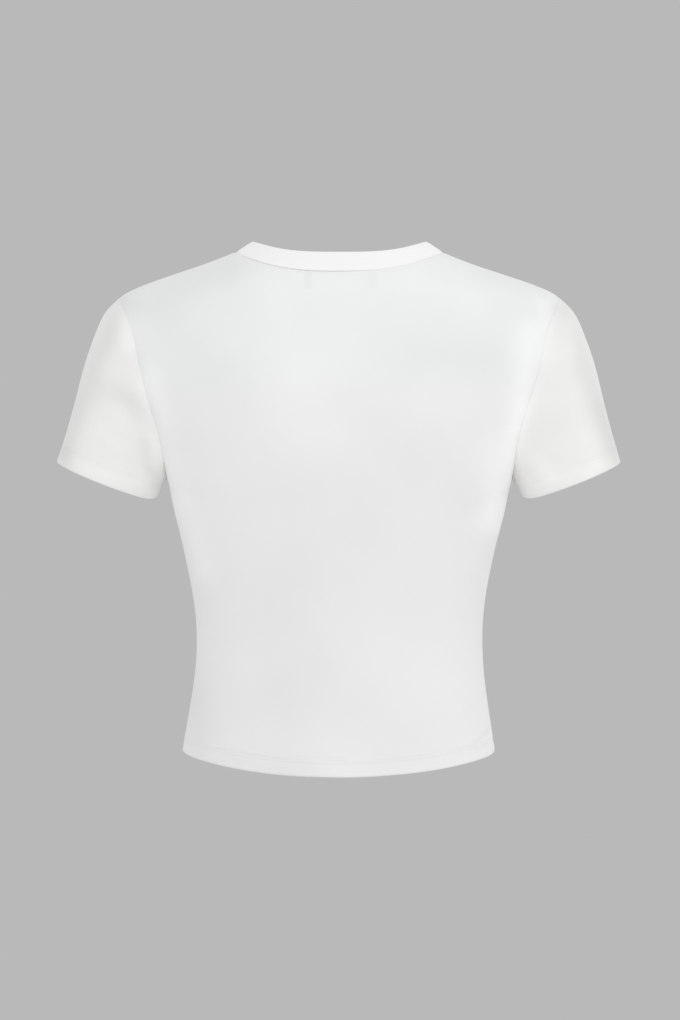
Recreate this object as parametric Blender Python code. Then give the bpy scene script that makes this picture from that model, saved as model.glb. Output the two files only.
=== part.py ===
"""A fitted short-sleeved crop top, filled out as it is worn, with nobody in it.

The form is a stack of level sections through the body and a run of slanted
rings through each sleeve. The cut pieces are the back, the front, two sleeves, the
doubled neckband and a blank neck label. Each is a closed wall of cloth, but some are
made as walls that part a seam gap from each other, so that simple collision pieces
can follow their curves: the back and the front part at their middle and level with
the underarms, and a sleeve parts along its top, its back and its front.

+Z is up, +X is the wearer's left, and the wearer faces -Y. The origin is midway
between the two points where the shoulder seams meet the neckband. Lengths are in
millimetres until a mesh is made.
"""

import math
from collections import namedtuple

import bmesh
import bpy
import numpy as np

MM = 0.001

# Cloth and sewing
WALL = 1.2  # one layer of jersey, as a wall that can be built
SEAM_GAP = 0.3  # between two pieces that are sewn together
HEM_FOLD = 15.0  # turned up inside the bottom edge
CUFF_FOLD = 17.0  # turned up inside each cuff
FOLD_STEP = 0.8  # over which a doubled fold thins to one layer
HEM_RISES = (0.0, HEM_FOLD / 2, HEM_FOLD, HEM_FOLD + FOLD_STEP)  # rows of the hem

# Where the seams start and end, down from the neck points
HEM_SIDE = -435.5
UNDERARM = -195.7
SHOULDER_TIP = -38.3
NECK_POINT = 0.0
NECK_HALF_WIDTH = 90.1

# Level sections through the body: half of the whole width, then the middle of the
# back, the middle of the front and the side seam in Y, and how square the oval is
# (2 is an ellipse). Above the underarm the oval runs on through the armhole.
BODY_COLUMNS = ("height", "half_width", "back", "front", "side", "fullness")
BODY = (
    (0.0, NECK_HALF_WIDTH, 36.0, -32.0, 0.0, 2.0),
    (-10.0, 114.3, 50.5, -37.0, 0.0, 2.0),
    (-21.0, 147.0, 61.3, -42.0, 0.0, 2.0),
    (-30.0, 172.9, 67.5, -46.5, 0.0, 2.0),
    (-38.3, 189.8, 71.5, -50.5, 0.0, 2.0),
    (-50.0, 196.4, 76.3, -55.5, 0.0, 2.05),
    (-75.0, 198.0, 85.5, -66.7, 0.0, 2.15),
    (-99.0, 194.0, 92.3, -78.0, 0.0, 2.25),
    (-119.0, 186.0, 96.3, -88.0, 0.0, 2.3),
    (-148.0, 169.5, 99.4, -103.0, 0.0, 2.4),
    (-178.0, 155.3, 99.3, -115.0, -1.0, 2.45),
    (-200.0, 149.9, 97.2, -122.0, -2.5, 2.45),
    (-225.0, 144.4, 93.3, -126.0, -5.0, 2.4),
    (-252.0, 138.3, 88.5, -124.0, -9.0, 2.35),
    (-278.0, 133.0, 83.8, -118.0, -12.0, 2.3),
    (-304.0, 128.5, 79.2, -111.0, -14.0, 2.25),
    (-345.0, 125.8, 75.5, -103.0, -14.0, 2.2),
    (-391.0, 129.6, 83.0, -101.0, -9.0, 2.2),
    (-420.0, 134.0, 91.0, -102.0, -5.0, 2.2),
    (-450.0, 138.0, 101.0, -104.5, -2.0, 2.2),
)

# How far each armhole edge lies in from the side of the level oval
ARMHOLE_COLUMNS = ("height", "back_inset", "front_inset")
ARMHOLE = (
    (SHOULDER_TIP, 0.0, 0.0),
    (-58.8, 14.7, 16.5),
    (-75.4, 21.5, 25.5),
    (-99.0, 22.6, 28.5),
    (-119.5, 19.8, 25.3),
    (-148.5, 11.5, 16.0),
    (-178.0, 3.2, 4.8),
    (UNDERARM, 0.0, 0.0),
)

# Each panel is a net of rows from hem to neckline. A row starts and ends on the
# panel's edge at one height and crosses the middle at another, in the shape of a bow:
# how square its middle is, and how sharply it turns up at its ends.
Bow = namedtuple("Bow", "square turn")
Stretch = namedtuple("Stretch", "rows edge_low edge_high middle_low middle_high bow_low bow_high")
SIDE_BOW = Bow(2.0, 1.0)
COLUMNS = 28
BACK_STRETCHES = (
    Stretch(12, HEM_SIDE, UNDERARM, -447.5, -205.0, SIDE_BOW, SIDE_BOW),
    Stretch(16, UNDERARM, SHOULDER_TIP, -205.0, -84.0, SIDE_BOW, Bow(2.2, 0.95)),
    Stretch(8, SHOULDER_TIP, NECK_POINT, -84.0, -22.2, Bow(2.2, 0.95), Bow(2.5, 0.84)),
)
FRONT_STRETCHES = (
    Stretch(12, HEM_SIDE, UNDERARM, -444.0, -225.0, SIDE_BOW, SIDE_BOW),
    Stretch(16, UNDERARM, SHOULDER_TIP, -225.0, -138.0, SIDE_BOW, Bow(2.1, 0.8)),
    Stretch(8, SHOULDER_TIP, NECK_POINT, -138.0, -86.0, Bow(2.1, 0.8), Bow(2.2, 0.62)),
)

# Rings down the left sleeve, by the distance along its top line: the top and
# bottom of the ring in X and Z, its middle in Y, its half depth to the back and to
# the front, and how far the back of the ring drops along the sleeve.
SLEEVE_COLUMNS = (
    "along", "top_x", "top_z", "bottom_x", "bottom_z", "middle_y", "back", "front", "drop"
)
SLEEVE_LENGTH = 157.0
SLEEVE = (
    (0.0, 189.8, -38.3, 151.0, -195.7, 0.0, 52.0, 52.0, 0.0),
    (8.0, 195.8, -43.3, 151.2, -196.3, -0.2, 53.3, 53.5, 0.2),
    (17.5, 202.7, -50.3, 151.6, -196.9, -0.4, 54.4, 54.6, 0.4),
    (37.0, 212.0, -67.8, 152.2, -198.0, -0.9, 55.8, 56.0, 0.8),
    (65.0, 221.8, -94.1, 152.9, -199.0, -1.6, 55.5, 55.8, 1.4),
    (101.0, 231.0, -129.1, 153.6, -200.0, -2.6, 52.2, 52.4, 2.2),
    (SLEEVE_LENGTH - CUFF_FOLD, 241.4, -166.5, 154.7, -200.7, -3.7, 47.8, 47.8, 3.0),
    (SLEEVE_LENGTH, 246.5, -182.6, 161.3, -216.3, -4.2, 46.3, 46.3, 3.4),
)
SLEEVE_ROWS_TO_FOLD = 10
SLEEVE_ROWS_IN_FOLD = 2
SLEEVE_ROWS_CROWD = 1.15  # above 1, the rows are closer together near the armhole
SLEEVE_LEAN = math.radians(21.3)  # of the sleeve's own line, from upright

# Neckband: a strip folded double, standing on the neckline and leaning inwards
BAND_HEIGHT = 17.0
BAND_LEANS = (("back", 12.0), ("side", 63.0), ("front", 33.0))  # degrees from upright
BAND_LEAN_SPREAD = 0.75  # how fast the lean changes away from the side
# Its section: share of the height, and how far out of the strip's own plane
BAND_SECTION = (
    (0.0, 0.0), (0.35, 0.35), (0.75, 0.3), (0.95, -0.2),
    (1.0, -1.2), (0.95, -2.2), (0.6, -2.5), (0.05, -2.4),
)

# Neck label: a blank tab that hangs inside the back neck, its ends folded under
LABEL_MIDDLE_X = -0.9
LABEL_WIDTH = 61.0
LABEL_TOP = -22.8
LABEL_HEIGHT = 21.5
LABEL_WALL = 1.0
LABEL_END_FOLD = 6.7
LABEL_END_WALL = 1.6
LABEL_COLUMNS = 8
LABEL_ROWS = 4

# Base colour as a grey, and roughness
FINISHES = {"jersey": (0.86, 0.9), "band": (0.9, 0.85), "label": (0.8, 0.6)}
SHARP_ANGLE = math.radians(40)

BACK, FRONT = 1, -1
ROW_SAMPLES = 401  # along a row before it is cut into equal steps
SLOPE_STEP = 0.05  # either way, where a slope is measured


def spline(keys, values):
    """The natural cubic curve through the values at these rising keys."""
    keys, values = np.asarray(keys, float), np.asarray(values, float)
    steps, slopes = np.diff(keys), np.diff(values) / np.diff(keys)
    matrix, wanted = np.eye(len(keys)), np.zeros(len(keys))
    for i in range(1, len(keys) - 1):
        matrix[i, i - 1 : i + 2] = steps[i - 1], 2 * (steps[i - 1] + steps[i]), steps[i]
        wanted[i] = 6 * (slopes[i] - slopes[i - 1])
    bends = np.linalg.solve(matrix, wanted)

    def value(key):
        i = np.clip(np.searchsorted(keys, key) - 1, 0, len(steps) - 1)
        step, above, below = steps[i], keys[i + 1] - key, key - keys[i]
        curved = (bends[i] * above**3 + bends[i + 1] * below**3) / (6 * step)
        left = (values[i] / step - bends[i] * step / 6) * above
        right = (values[i + 1] / step - bends[i + 1] * step / 6) * below
        return curved + left + right

    return value


def curves(columns, rows):
    """A namedtuple of curves, one for each column after the first, which is the key."""
    ordered = sorted(rows)
    keys = [row[0] for row in ordered]
    found = [spline(keys, [row[i] for row in ordered]) for i in range(1, len(columns))]
    return namedtuple("Curves", columns[1:])(*found)


BODY_CURVES = curves(BODY_COLUMNS, BODY)
ARMHOLE_CURVES = curves(ARMHOLE_COLUMNS, ARMHOLE)
SLEEVE_CURVES = curves(SLEEVE_COLUMNS, SLEEVE)


def unit(vectors):
    return vectors / np.linalg.norm(vectors, axis=-1, keepdims=True)


def half_depth(z, side):
    """From the side seam to the middle of the back or of the front."""
    middle = BODY_CURVES.back(z) if side == BACK else BODY_CURVES.front(z)
    return abs(middle - BODY_CURVES.side(z))


def body_y(x, z, side):
    """Y of the cloth's outer face at this place on the back or the front."""
    power = BODY_CURVES.fullness(z)
    share = np.clip(np.abs(x) / BODY_CURVES.half_width(z), 0.0, 1.0)
    return BODY_CURVES.side(z) + side * half_depth(z, side) * (1 - share**power) ** (1 / power)


def body_normals(points, side):
    """The way out of the cloth, as the slope of the oval's own equation."""

    def level(at):
        x, y, z = at[..., 0], at[..., 1], at[..., 2]
        power = BODY_CURVES.fullness(z)
        across = (np.abs(x) / BODY_CURVES.half_width(z)) ** power
        deep = (np.abs(y - BODY_CURVES.side(z)) / half_depth(z, side)) ** power
        return across + deep

    nudges = SLOPE_STEP * np.eye(3)
    return unit(np.stack([level(points + n) - level(points - n) for n in nudges], axis=-1))


def edge_x(z, side):
    """Half of the panel's width where its edge is at this height."""
    half_width = BODY_CURVES.half_width(z)
    if not UNDERARM < z < SHOULDER_TIP:
        return half_width
    inset = ARMHOLE_CURVES.back_inset(z) if side == BACK else ARMHOLE_CURVES.front_inset(z)
    return half_width - inset


def spread(points, count):
    """This many steps of equal length along a line of points."""
    lengths = np.linalg.norm(np.diff(points, axis=0), axis=1)
    reach = np.concatenate([[0.0], np.cumsum(lengths)])
    wanted = np.linspace(0.0, reach[-1], count + 1)
    return np.stack([np.interp(wanted, reach, points[:, axis]) for axis in range(3)], axis=-1)


def panel_row(edge, middle, bow, side):
    """A row's points, from the wearer's right to the left."""
    share = np.sin(np.linspace(-0.5, 0.5, ROW_SAMPLES) * math.pi)
    x = edge_x(edge, side) * share
    z = edge + (middle - edge) * (1 - np.abs(share) ** bow.square) ** bow.turn
    return spread(np.stack([x, body_y(x, z, side), z], axis=-1), COLUMNS)


def stretch_rows(stretch, side):
    """The rows of one stretch of the panel's edge, without its last."""
    rows = []
    for i in range(stretch.rows):
        share = i / stretch.rows
        # Around the armhole the rows crowd to its ends, as points on an oval do.
        on_armhole = stretch.edge_low == UNDERARM
        reach = (1 - math.cos(share * math.pi)) / 2 if on_armhole else share
        edge = stretch.edge_low + reach * (stretch.edge_high - stretch.edge_low)
        middle = stretch.middle_low + share * (stretch.middle_high - stretch.middle_low)
        bow = Bow(*((1 - share) * np.array(stretch.bow_low) + share * np.array(stretch.bow_high)))
        rows.append(panel_row(edge, middle, bow, side))
    return rows


def panel_faces(stretches, side):
    """Outer and inner points of a panel, [row][column], hem to neckline."""
    hem, top = stretches[0], stretches[-1]
    rows = [
        panel_row(hem.edge_low + rise, hem.middle_low + rise, hem.bow_low, side)
        for rise in HEM_RISES
    ]
    walls = [2 * WALL, 2 * WALL, 2 * WALL, WALL]
    for stretch in stretches:
        rows += stretch_rows(stretch, side)[1 if stretch is hem else 0 :]
    rows.append(panel_row(top.edge_high, top.middle_high, top.bow_high, side))
    walls += [WALL] * (len(rows) - len(walls))
    outer = np.array(rows)
    inner = outer - np.array(walls)[:, None, None] * body_normals(outer, side)
    apart = np.array([0.0, side * SEAM_GAP / 2, 0.0])
    return outer + apart, inner + apart


def draw_back(face, edge, neighbour):
    """Draws an edge of a net back along its rows, by its half of a seam gap."""
    face[:, edge] += SEAM_GAP / 2 * unit(face[:, neighbour] - face[:, edge])


def divide_panel(faces, stretches):
    """A panel's walls by name: either half, above the underarms and below them."""
    row, middle = len(HEM_RISES) + stretches[0].rows - 1, COLUMNS // 2
    walls = {}
    for hand, columns, edge, neighbour in (
        ("right", slice(None, middle + 1), -1, -2),
        ("left", slice(middle, None), 0, 1),
    ):
        walls[f"lower_{hand}"] = [face[: row + 1, columns].copy() for face in faces]
        walls[f"upper_{hand}"] = [face[row:, columns].copy() for face in faces]
        for face in walls[f"upper_{hand}"]:
            face[0, :, 2] += SEAM_GAP
        for face in walls[f"lower_{hand}"] + walls[f"upper_{hand}"]:
            draw_back(face, edge, neighbour)
    return walls


def divide_sleeve(faces):
    """A sleeve's walls by name: the half under the arm, and two quarters over it."""
    turns = faces[0].shape[1]
    walls = {}
    for name, first, last in (
        ("upper_back", 0, turns // 4),
        ("under", turns // 4, 3 * turns // 4),
        ("upper_front", 3 * turns // 4, turns),
    ):
        walls[name] = [np.roll(face, -first, axis=1)[:, : last - first + 1] for face in faces]
        for face in walls[name]:
            draw_back(face, 0, 1)
            draw_back(face, -1, -2)
    return walls


def armhole(faces, stretches):
    """The left edge of a panel from shoulder tip to underarm."""
    outer, inner = faces
    neck_end = 1 + stretches[2].rows
    edge = slice(-neck_end, -neck_end - stretches[1].rows - 1, -1)
    return outer[edge, -1], unit(outer[edge, -1] - inner[edge, -1])


def sleeve_ring(along, turns):
    """A ring of the sleeve: turns run from its top round the back, bottom and front."""
    ring = namedtuple("Ring", SLEEVE_COLUMNS[1:])(*(curve(along) for curve in SLEEVE_CURVES))
    top = np.array([ring.top_x, ring.middle_y, ring.top_z])
    bottom = np.array([ring.bottom_x, ring.middle_y, ring.bottom_z])
    down = np.array([math.sin(SLEEVE_LEAN), 0.0, -math.cos(SLEEVE_LEAN)])
    up, deep = np.cos(turns)[:, None], np.sin(turns)[:, None]
    depth = np.where(deep > 0, ring.back, ring.front)
    backwards = depth * np.array([0.0, 1.0, 0.0]) + ring.drop * down
    return (top + bottom) / 2 + up * (top - bottom) / 2 + deep * backwards


def sleeve_rows():
    """How far along the sleeve its rings lie, and the wall at each."""
    fold = SLEEVE_LENGTH - CUFF_FOLD
    shares = np.linspace(0.0, 1.0, SLEEVE_ROWS_TO_FOLD + 1) ** SLEEVE_ROWS_CROWD
    in_fold = np.linspace(fold, SLEEVE_LENGTH, SLEEVE_ROWS_IN_FOLD + 1)
    along = np.concatenate([shares * (fold - FOLD_STEP), in_fold])
    return along, np.where(along < fold, WALL, 2 * WALL)


def sleeve_faces(back_edge, front_edge):
    """Outer and inner points of the left sleeve, [ring][turn], armhole to cuff."""
    start = np.concatenate([back_edge[0], front_edge[0][-2:0:-1]])
    body_out = np.concatenate([back_edge[1], front_edge[1][-2:0:-1]])
    start[(0, len(back_edge[0]) - 1), 1] = 0.0
    turns = np.linspace(0.0, 2 * math.pi, len(start), endpoint=False)
    missed = start - sleeve_ring(0.0, turns)
    along, walls = sleeve_rows()

    def surface(reach):
        """The ring here, drawn to the true edge of the armhole near its start."""
        fade = max(1 - reach / (SLEEVE_LENGTH - CUFF_FOLD), 0.0) ** 2
        return sleeve_ring(reach, turns) + fade * missed

    outer = np.array([surface(reach) for reach in along])
    leaving = unit(surface(SLOPE_STEP) - surface(0.0))
    outer[0] += SEAM_GAP * (leaving + body_out)
    ahead = np.array([surface(min(reach + SLOPE_STEP, SLEEVE_LENGTH)) for reach in along])
    behind = np.array([surface(max(reach - SLOPE_STEP, 0.0)) for reach in along])
    around = np.roll(outer, -1, axis=1) - np.roll(outer, 1, axis=1)
    out = unit(np.cross(ahead - behind, around))
    return outer, outer - walls[:, None, None] * out


def neckband_rings(back_top, front_top):
    """The band's section points all round the neckline, [turn][section point]."""
    seam = np.concatenate([back_top[:-1], front_top[::-1][:-1]])
    corners = (0, len(back_top) - 1)
    seam[corners, 1] = 0.0
    tangent = unit(np.roll(seam, -1, axis=0) - np.roll(seam, 1, axis=0))
    inwards = unit(np.stack([tangent[:, 1], -tangent[:, 0], 0 * tangent[:, 0]], axis=-1))
    inwards *= np.where(np.sum(inwards * seam, axis=1) > 0, -1.0, 1.0)[:, None]
    back, at_side, front = (math.radians(lean) for _, lean in BAND_LEANS)
    facing = seam[:, 1] / np.hypot(seam[:, 0], seam[:, 1])
    middle = np.where(facing > 0, back, front)
    lean = at_side + (middle - at_side) * np.abs(facing) ** BAND_LEAN_SPREAD
    upright = np.array([0.0, 0.0, 1.0])
    rise = np.cos(lean)[:, None] * upright + np.sin(lean)[:, None] * inwards
    rise = unit(rise - np.sum(rise * tangent, axis=1)[:, None] * tangent)
    out = unit(np.cross(tangent, rise))
    out *= np.where(np.sum(out * inwards, axis=1) > 0, -1.0, 1.0)[:, None]
    share, bulge = np.array(BAND_SECTION).T
    height = SEAM_GAP + share * (BAND_HEIGHT - SEAM_GAP)
    return (
        seam[:, None]
        + height[None, :, None] * rise[:, None]
        + bulge[None, :, None] * out[:, None]
    )


def label_faces():
    """Outer and inner points of the label, which lies just inside the back panel."""
    half = LABEL_WIDTH / 2
    inside_ends = half - LABEL_END_FOLD
    plain = np.linspace(-inside_ends + FOLD_STEP, inside_ends - FOLD_STEP, LABEL_COLUMNS + 1)
    across = np.concatenate([[-half, -inside_ends], plain, [inside_ends, half]])
    walls = np.array([LABEL_END_WALL] * 2 + [LABEL_WALL] * len(plain) + [LABEL_END_WALL] * 2)
    down = np.linspace(LABEL_TOP - LABEL_HEIGHT, LABEL_TOP, LABEL_ROWS + 1)
    x, z = np.meshgrid(LABEL_MIDDLE_X + across, down)
    cloth = np.stack([x, body_y(x, z, BACK), z], axis=-1)
    out = body_normals(cloth, BACK)
    outer = cloth - (WALL + SEAM_GAP) * out + np.array([0.0, SEAM_GAP / 2, 0.0])
    return outer, outer - walls[None, :, None] * out


def cloth_material(name, finish):
    grey, roughness = FINISHES[finish]
    material = bpy.data.materials.new(name)
    material.use_nodes = True
    shader = material.node_tree.nodes["Principled BSDF"]
    shader.inputs["Base Color"].default_value = (grey, grey, grey, 1.0)
    shader.inputs["Roughness"].default_value = roughness
    shader.inputs["Metallic"].default_value = 0.0
    return material


def add_object(name, points, faces, material, parent):
    mesh = bpy.data.meshes.new(name)
    mesh.from_pydata((points * MM).tolist(), [], faces)
    made = bmesh.new()
    made.from_mesh(mesh)
    bmesh.ops.recalc_face_normals(made, faces=made.faces)
    made.to_mesh(mesh)
    made.free()
    mesh.materials.append(material)
    mesh.shade_smooth()
    mesh.set_sharp_from_angle(angle=SHARP_ANGLE)
    made_object = bpy.data.objects.new(name, mesh)
    made_object.parent = parent
    bpy.context.collection.objects.link(made_object)


def add_wall(name, outer, inner, material, parent):
    """A closed wall between two nets of points."""
    rows, columns = outer.shape[:2]
    points = np.concatenate([outer.reshape(-1, 3), inner.reshape(-1, 3)])
    index = np.arange(rows * columns).reshape(rows, columns)
    other = index + rows * columns
    faces = []
    for net in (index, other[:, ::-1]):
        corners = (net[:-1, :-1], net[:-1, 1:], net[1:, 1:], net[1:, :-1])
        faces += np.stack(corners, axis=-1).reshape(-1, 4).tolist()
    for near, far in (
        (index[0], other[0]),
        (index[-1][::-1], other[-1][::-1]),
        (index[::-1, 0], other[::-1, 0]),
        (index[:, -1], other[:, -1]),
    ):
        corners = (far[:-1], far[1:], near[1:], near[:-1])
        faces += np.stack(corners, axis=-1).tolist()
    add_object(name, points, faces, material, parent)


def add_loop(name, rings, material, parent):
    """A closed loop of closed sections, such as a band round a neck."""
    turns, size = rings.shape[:2]
    index = np.arange(turns * size).reshape(turns, size)
    on, up = np.roll(index, -1, axis=0), np.roll(index, -1, axis=1)
    corners = (index, on, np.roll(on, -1, axis=1), up)
    faces = np.stack(corners, axis=-1).reshape(-1, 4).tolist()
    add_object(name, rings.reshape(-1, 3), faces, material, parent)


def build():
    for old in list(bpy.data.objects):
        bpy.data.objects.remove(old)
    garment = bpy.data.objects.new("crop_top", None)
    bpy.context.collection.objects.link(garment)

    back = panel_faces(BACK_STRETCHES, BACK)
    front = panel_faces(FRONT_STRETCHES, FRONT)
    left = sleeve_faces(armhole(back, BACK_STRETCHES), armhole(front, FRONT_STRETCHES))
    right = [face * np.array([-1.0, 1.0, 1.0]) for face in left]

    for piece, walls in (
        ("back", divide_panel(back, BACK_STRETCHES)),
        ("front", divide_panel(front, FRONT_STRETCHES)),
        ("sleeve_left", divide_sleeve(left)),
        ("sleeve_right", divide_sleeve(right)),
    ):
        for part, faces in walls.items():
            name = f"{piece}_{part}"
            add_wall(name, *faces, cloth_material(f"{name}_jersey", "jersey"), garment)

    band = neckband_rings(back[0][-1], front[0][-1])
    add_loop("neckband", band, cloth_material("neckband_jersey", "band"), garment)
    add_wall("neck_label", *label_faces(), cloth_material("label_tape", "label"), garment)


build()
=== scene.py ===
"""A plain white fitted crop top, filled out as worn, dressed over its solids.

Each cut piece is a thin closed shell on the form of its solid: back, front, two
sleeves, the doubled neckband and a blank neck label. Soft folds are laid on from a table.
Rows of stitches are grown by Geometry Nodes.

+Z is up, +X is the wearer's left, and the wearer faces -Y. Lengths are millimetres
until a mesh is made.
"""

import logging
import math
from collections.abc import Sequence
from dataclasses import dataclass, field, replace
from enum import Enum
from typing import ClassVar

import bmesh
import bpy
import numpy as np
from bpy.types import ID, Material, Mesh, Node, NodeSocket, NodeTree, Object
from mathutils import Matrix, Vector


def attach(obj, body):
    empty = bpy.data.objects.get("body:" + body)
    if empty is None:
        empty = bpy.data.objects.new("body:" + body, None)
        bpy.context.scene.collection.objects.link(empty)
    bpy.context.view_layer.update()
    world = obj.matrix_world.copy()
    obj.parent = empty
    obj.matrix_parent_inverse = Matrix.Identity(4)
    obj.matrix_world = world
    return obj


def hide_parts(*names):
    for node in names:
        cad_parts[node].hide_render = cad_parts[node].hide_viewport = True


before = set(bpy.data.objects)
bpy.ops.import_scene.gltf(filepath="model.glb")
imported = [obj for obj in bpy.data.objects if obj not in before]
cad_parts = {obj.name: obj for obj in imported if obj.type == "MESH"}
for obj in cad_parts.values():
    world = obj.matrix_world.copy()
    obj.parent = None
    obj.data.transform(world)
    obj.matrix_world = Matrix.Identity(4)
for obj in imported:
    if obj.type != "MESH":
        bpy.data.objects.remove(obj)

logging.basicConfig(level=logging.INFO, format="%(levelname)s %(message)s")
log = logging.getLogger("crop_top")

MM = 0.001
CLOTH_UV = "cloth"
# The point attribute that carries the painted light and shade on the cloth's colour
PAINTED_LIGHT_ATTRIBUTE = "tone"
SHARP_ANGLE = math.radians(55)
BACKWARDS = np.array([0.0, 1.0, 0.0])
UPRIGHT = np.array([0.0, 0.0, 1.0])

Points = np.ndarray
Colour = tuple[float, float, float]
Place = tuple[float, float, float]
Table = tuple[tuple[float, ...], ...]
Pattern = tuple[Node, dict[str, Node]]
Seam = tuple[Points, Points, bool]


class Side(Enum):
    """Which half of the body a piece covers; the value is the sign of Y there."""

    BACK = 1
    FRONT = -1


class Hand(Enum):
    """The wearer's left or right; the value is the sign of X there."""

    LEFT = 1
    RIGHT = -1


def unit(vectors: Points) -> Points:
    """The same vectors, each of length one."""
    return vectors / np.maximum(np.linalg.norm(vectors, axis=-1, keepdims=True), 1e-12)


def smooth_step(value: Points) -> Points:
    """A soft rise from 0 to 1 as the value goes from 0 to 1."""
    clipped = np.clip(value, 0.0, 1.0)
    return clipped * clipped * (3 - 2 * clipped)


def bell(distance: Points, width: float) -> Points:
    """1 at no distance, falling away softly over the width."""
    return np.exp(-((distance / width) ** 2))


def arc_lengths(line: Points) -> Points:
    """How far along a line of points each of them lies."""
    steps = np.linalg.norm(np.diff(line, axis=0), axis=1)
    return np.concatenate([[0.0], np.cumsum(steps)])


def points_at(wanted: Points, reach: Points, line: Points) -> Points:
    """The points of a line at these distances along it."""
    return np.stack([np.interp(wanted, reach, line[:, i]) for i in range(3)], axis=-1)


def row_lengths(net: Points) -> Points:
    """How far along its row each point of a net lies."""
    return np.array([arc_lengths(row) for row in net])


def column_lengths(net: Points) -> Points:
    """How far along its column each point of a net lies."""
    return row_lengths(net.transpose(1, 0, 2)).T


class Curve:
    """The natural cubic curve through values at rising keys."""

    def __init__(self, keys: Sequence[float], values: Sequence[float]) -> None:
        """Solves the curve's bends.

        Args:
            keys: Rising positions.
            values: The value at each of them.
        """
        self.keys = np.asarray(keys, float)
        self.values = np.asarray(values, float)
        self.steps = np.diff(self.keys)
        slopes = np.diff(self.values) / self.steps
        matrix, wanted = np.eye(len(self.keys)), np.zeros(len(self.keys))
        for i in range(1, len(self.keys) - 1):
            before, after = self.steps[i - 1], self.steps[i]
            matrix[i, i - 1 : i + 2] = before, 2 * (before + after), after
            wanted[i] = 6 * (slopes[i] - slopes[i - 1])
        self.bends = np.linalg.solve(matrix, wanted)

    def __call__(self, key: Points) -> Points:
        """The curve's value at this key or at each of these keys."""
        i = np.clip(np.searchsorted(self.keys, key) - 1, 0, len(self.steps) - 1)
        step, above, below = self.steps[i], self.keys[i + 1] - key, key - self.keys[i]
        curved = (self.bends[i] * above**3 + self.bends[i + 1] * below**3) / (6 * step)
        left = (self.values[i] / step - self.bends[i] * step / 6) * above
        right = (self.values[i + 1] / step - self.bends[i + 1] * step / 6) * below
        return curved + left + right


def curves(columns: Sequence[str], rows: Sequence[Sequence[float]]) -> dict[str, Curve]:
    """A curve for each column of a table after its first, which is the key.

    Args:
        columns: The columns' names.
        rows: The table's rows, in either order of their keys.

    Returns:
        The curves by column name.
    """
    ordered = sorted(rows)
    keys = [row[0] for row in ordered]
    return {
        name: Curve(keys, [row[i] for row in ordered])
        for i, name in enumerate(columns)
        if i
    }


@dataclass(frozen=True)
class Cloth:
    """The sizes of the jersey and of its sewing."""

    wall: float = 1.2
    seam_gap: float = 0.03
    hem_fold: float = 15.0
    cuff_fold: float = 17.0
    fold_step: float = 0.8
    groove: float = 0.12
    groove_width: float = 1.6
    needle_depth: float = 0.04
    needle_width: float = 0.7
    rim_share: float = 0.93
    allowance: float = 6.0
    allowance_wall: float = 1.1
    allowance_lift: float = 0.15

    def pressed(self, distance: Points) -> Points:
        """How deep the cloth is drawn in this far from a seam."""
        return self.groove * bell(distance, self.groove_width)

    def stitched(self, lift: Points, rise: Points, needles: Sequence[float]) -> Points:
        """The cloth's lift with the rows of needle stitches drawn in."""
        for needle in needles:
            lift = lift - self.needle_depth * bell(rise - needle, self.needle_width)
        return lift

    def walls(self, rise: Points, fold: float) -> tuple[Points, Points]:
        """The wall at each rise above a turned-up edge, and how far each face rounds over.

        Args:
            rise: Heights above the edge.
            fold: How far the edge is turned up.

        Returns:
            The wall's thickness, and how far each face draws in to make the edge round.
        """
        left = np.clip(self.wall - rise, 0, self.rim_share * self.wall)
        return (
            np.where(rise <= fold, 2 * self.wall, self.wall),
            self.wall - np.sqrt(self.wall**2 - left**2),
        )


CLOTH = Cloth()


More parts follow.
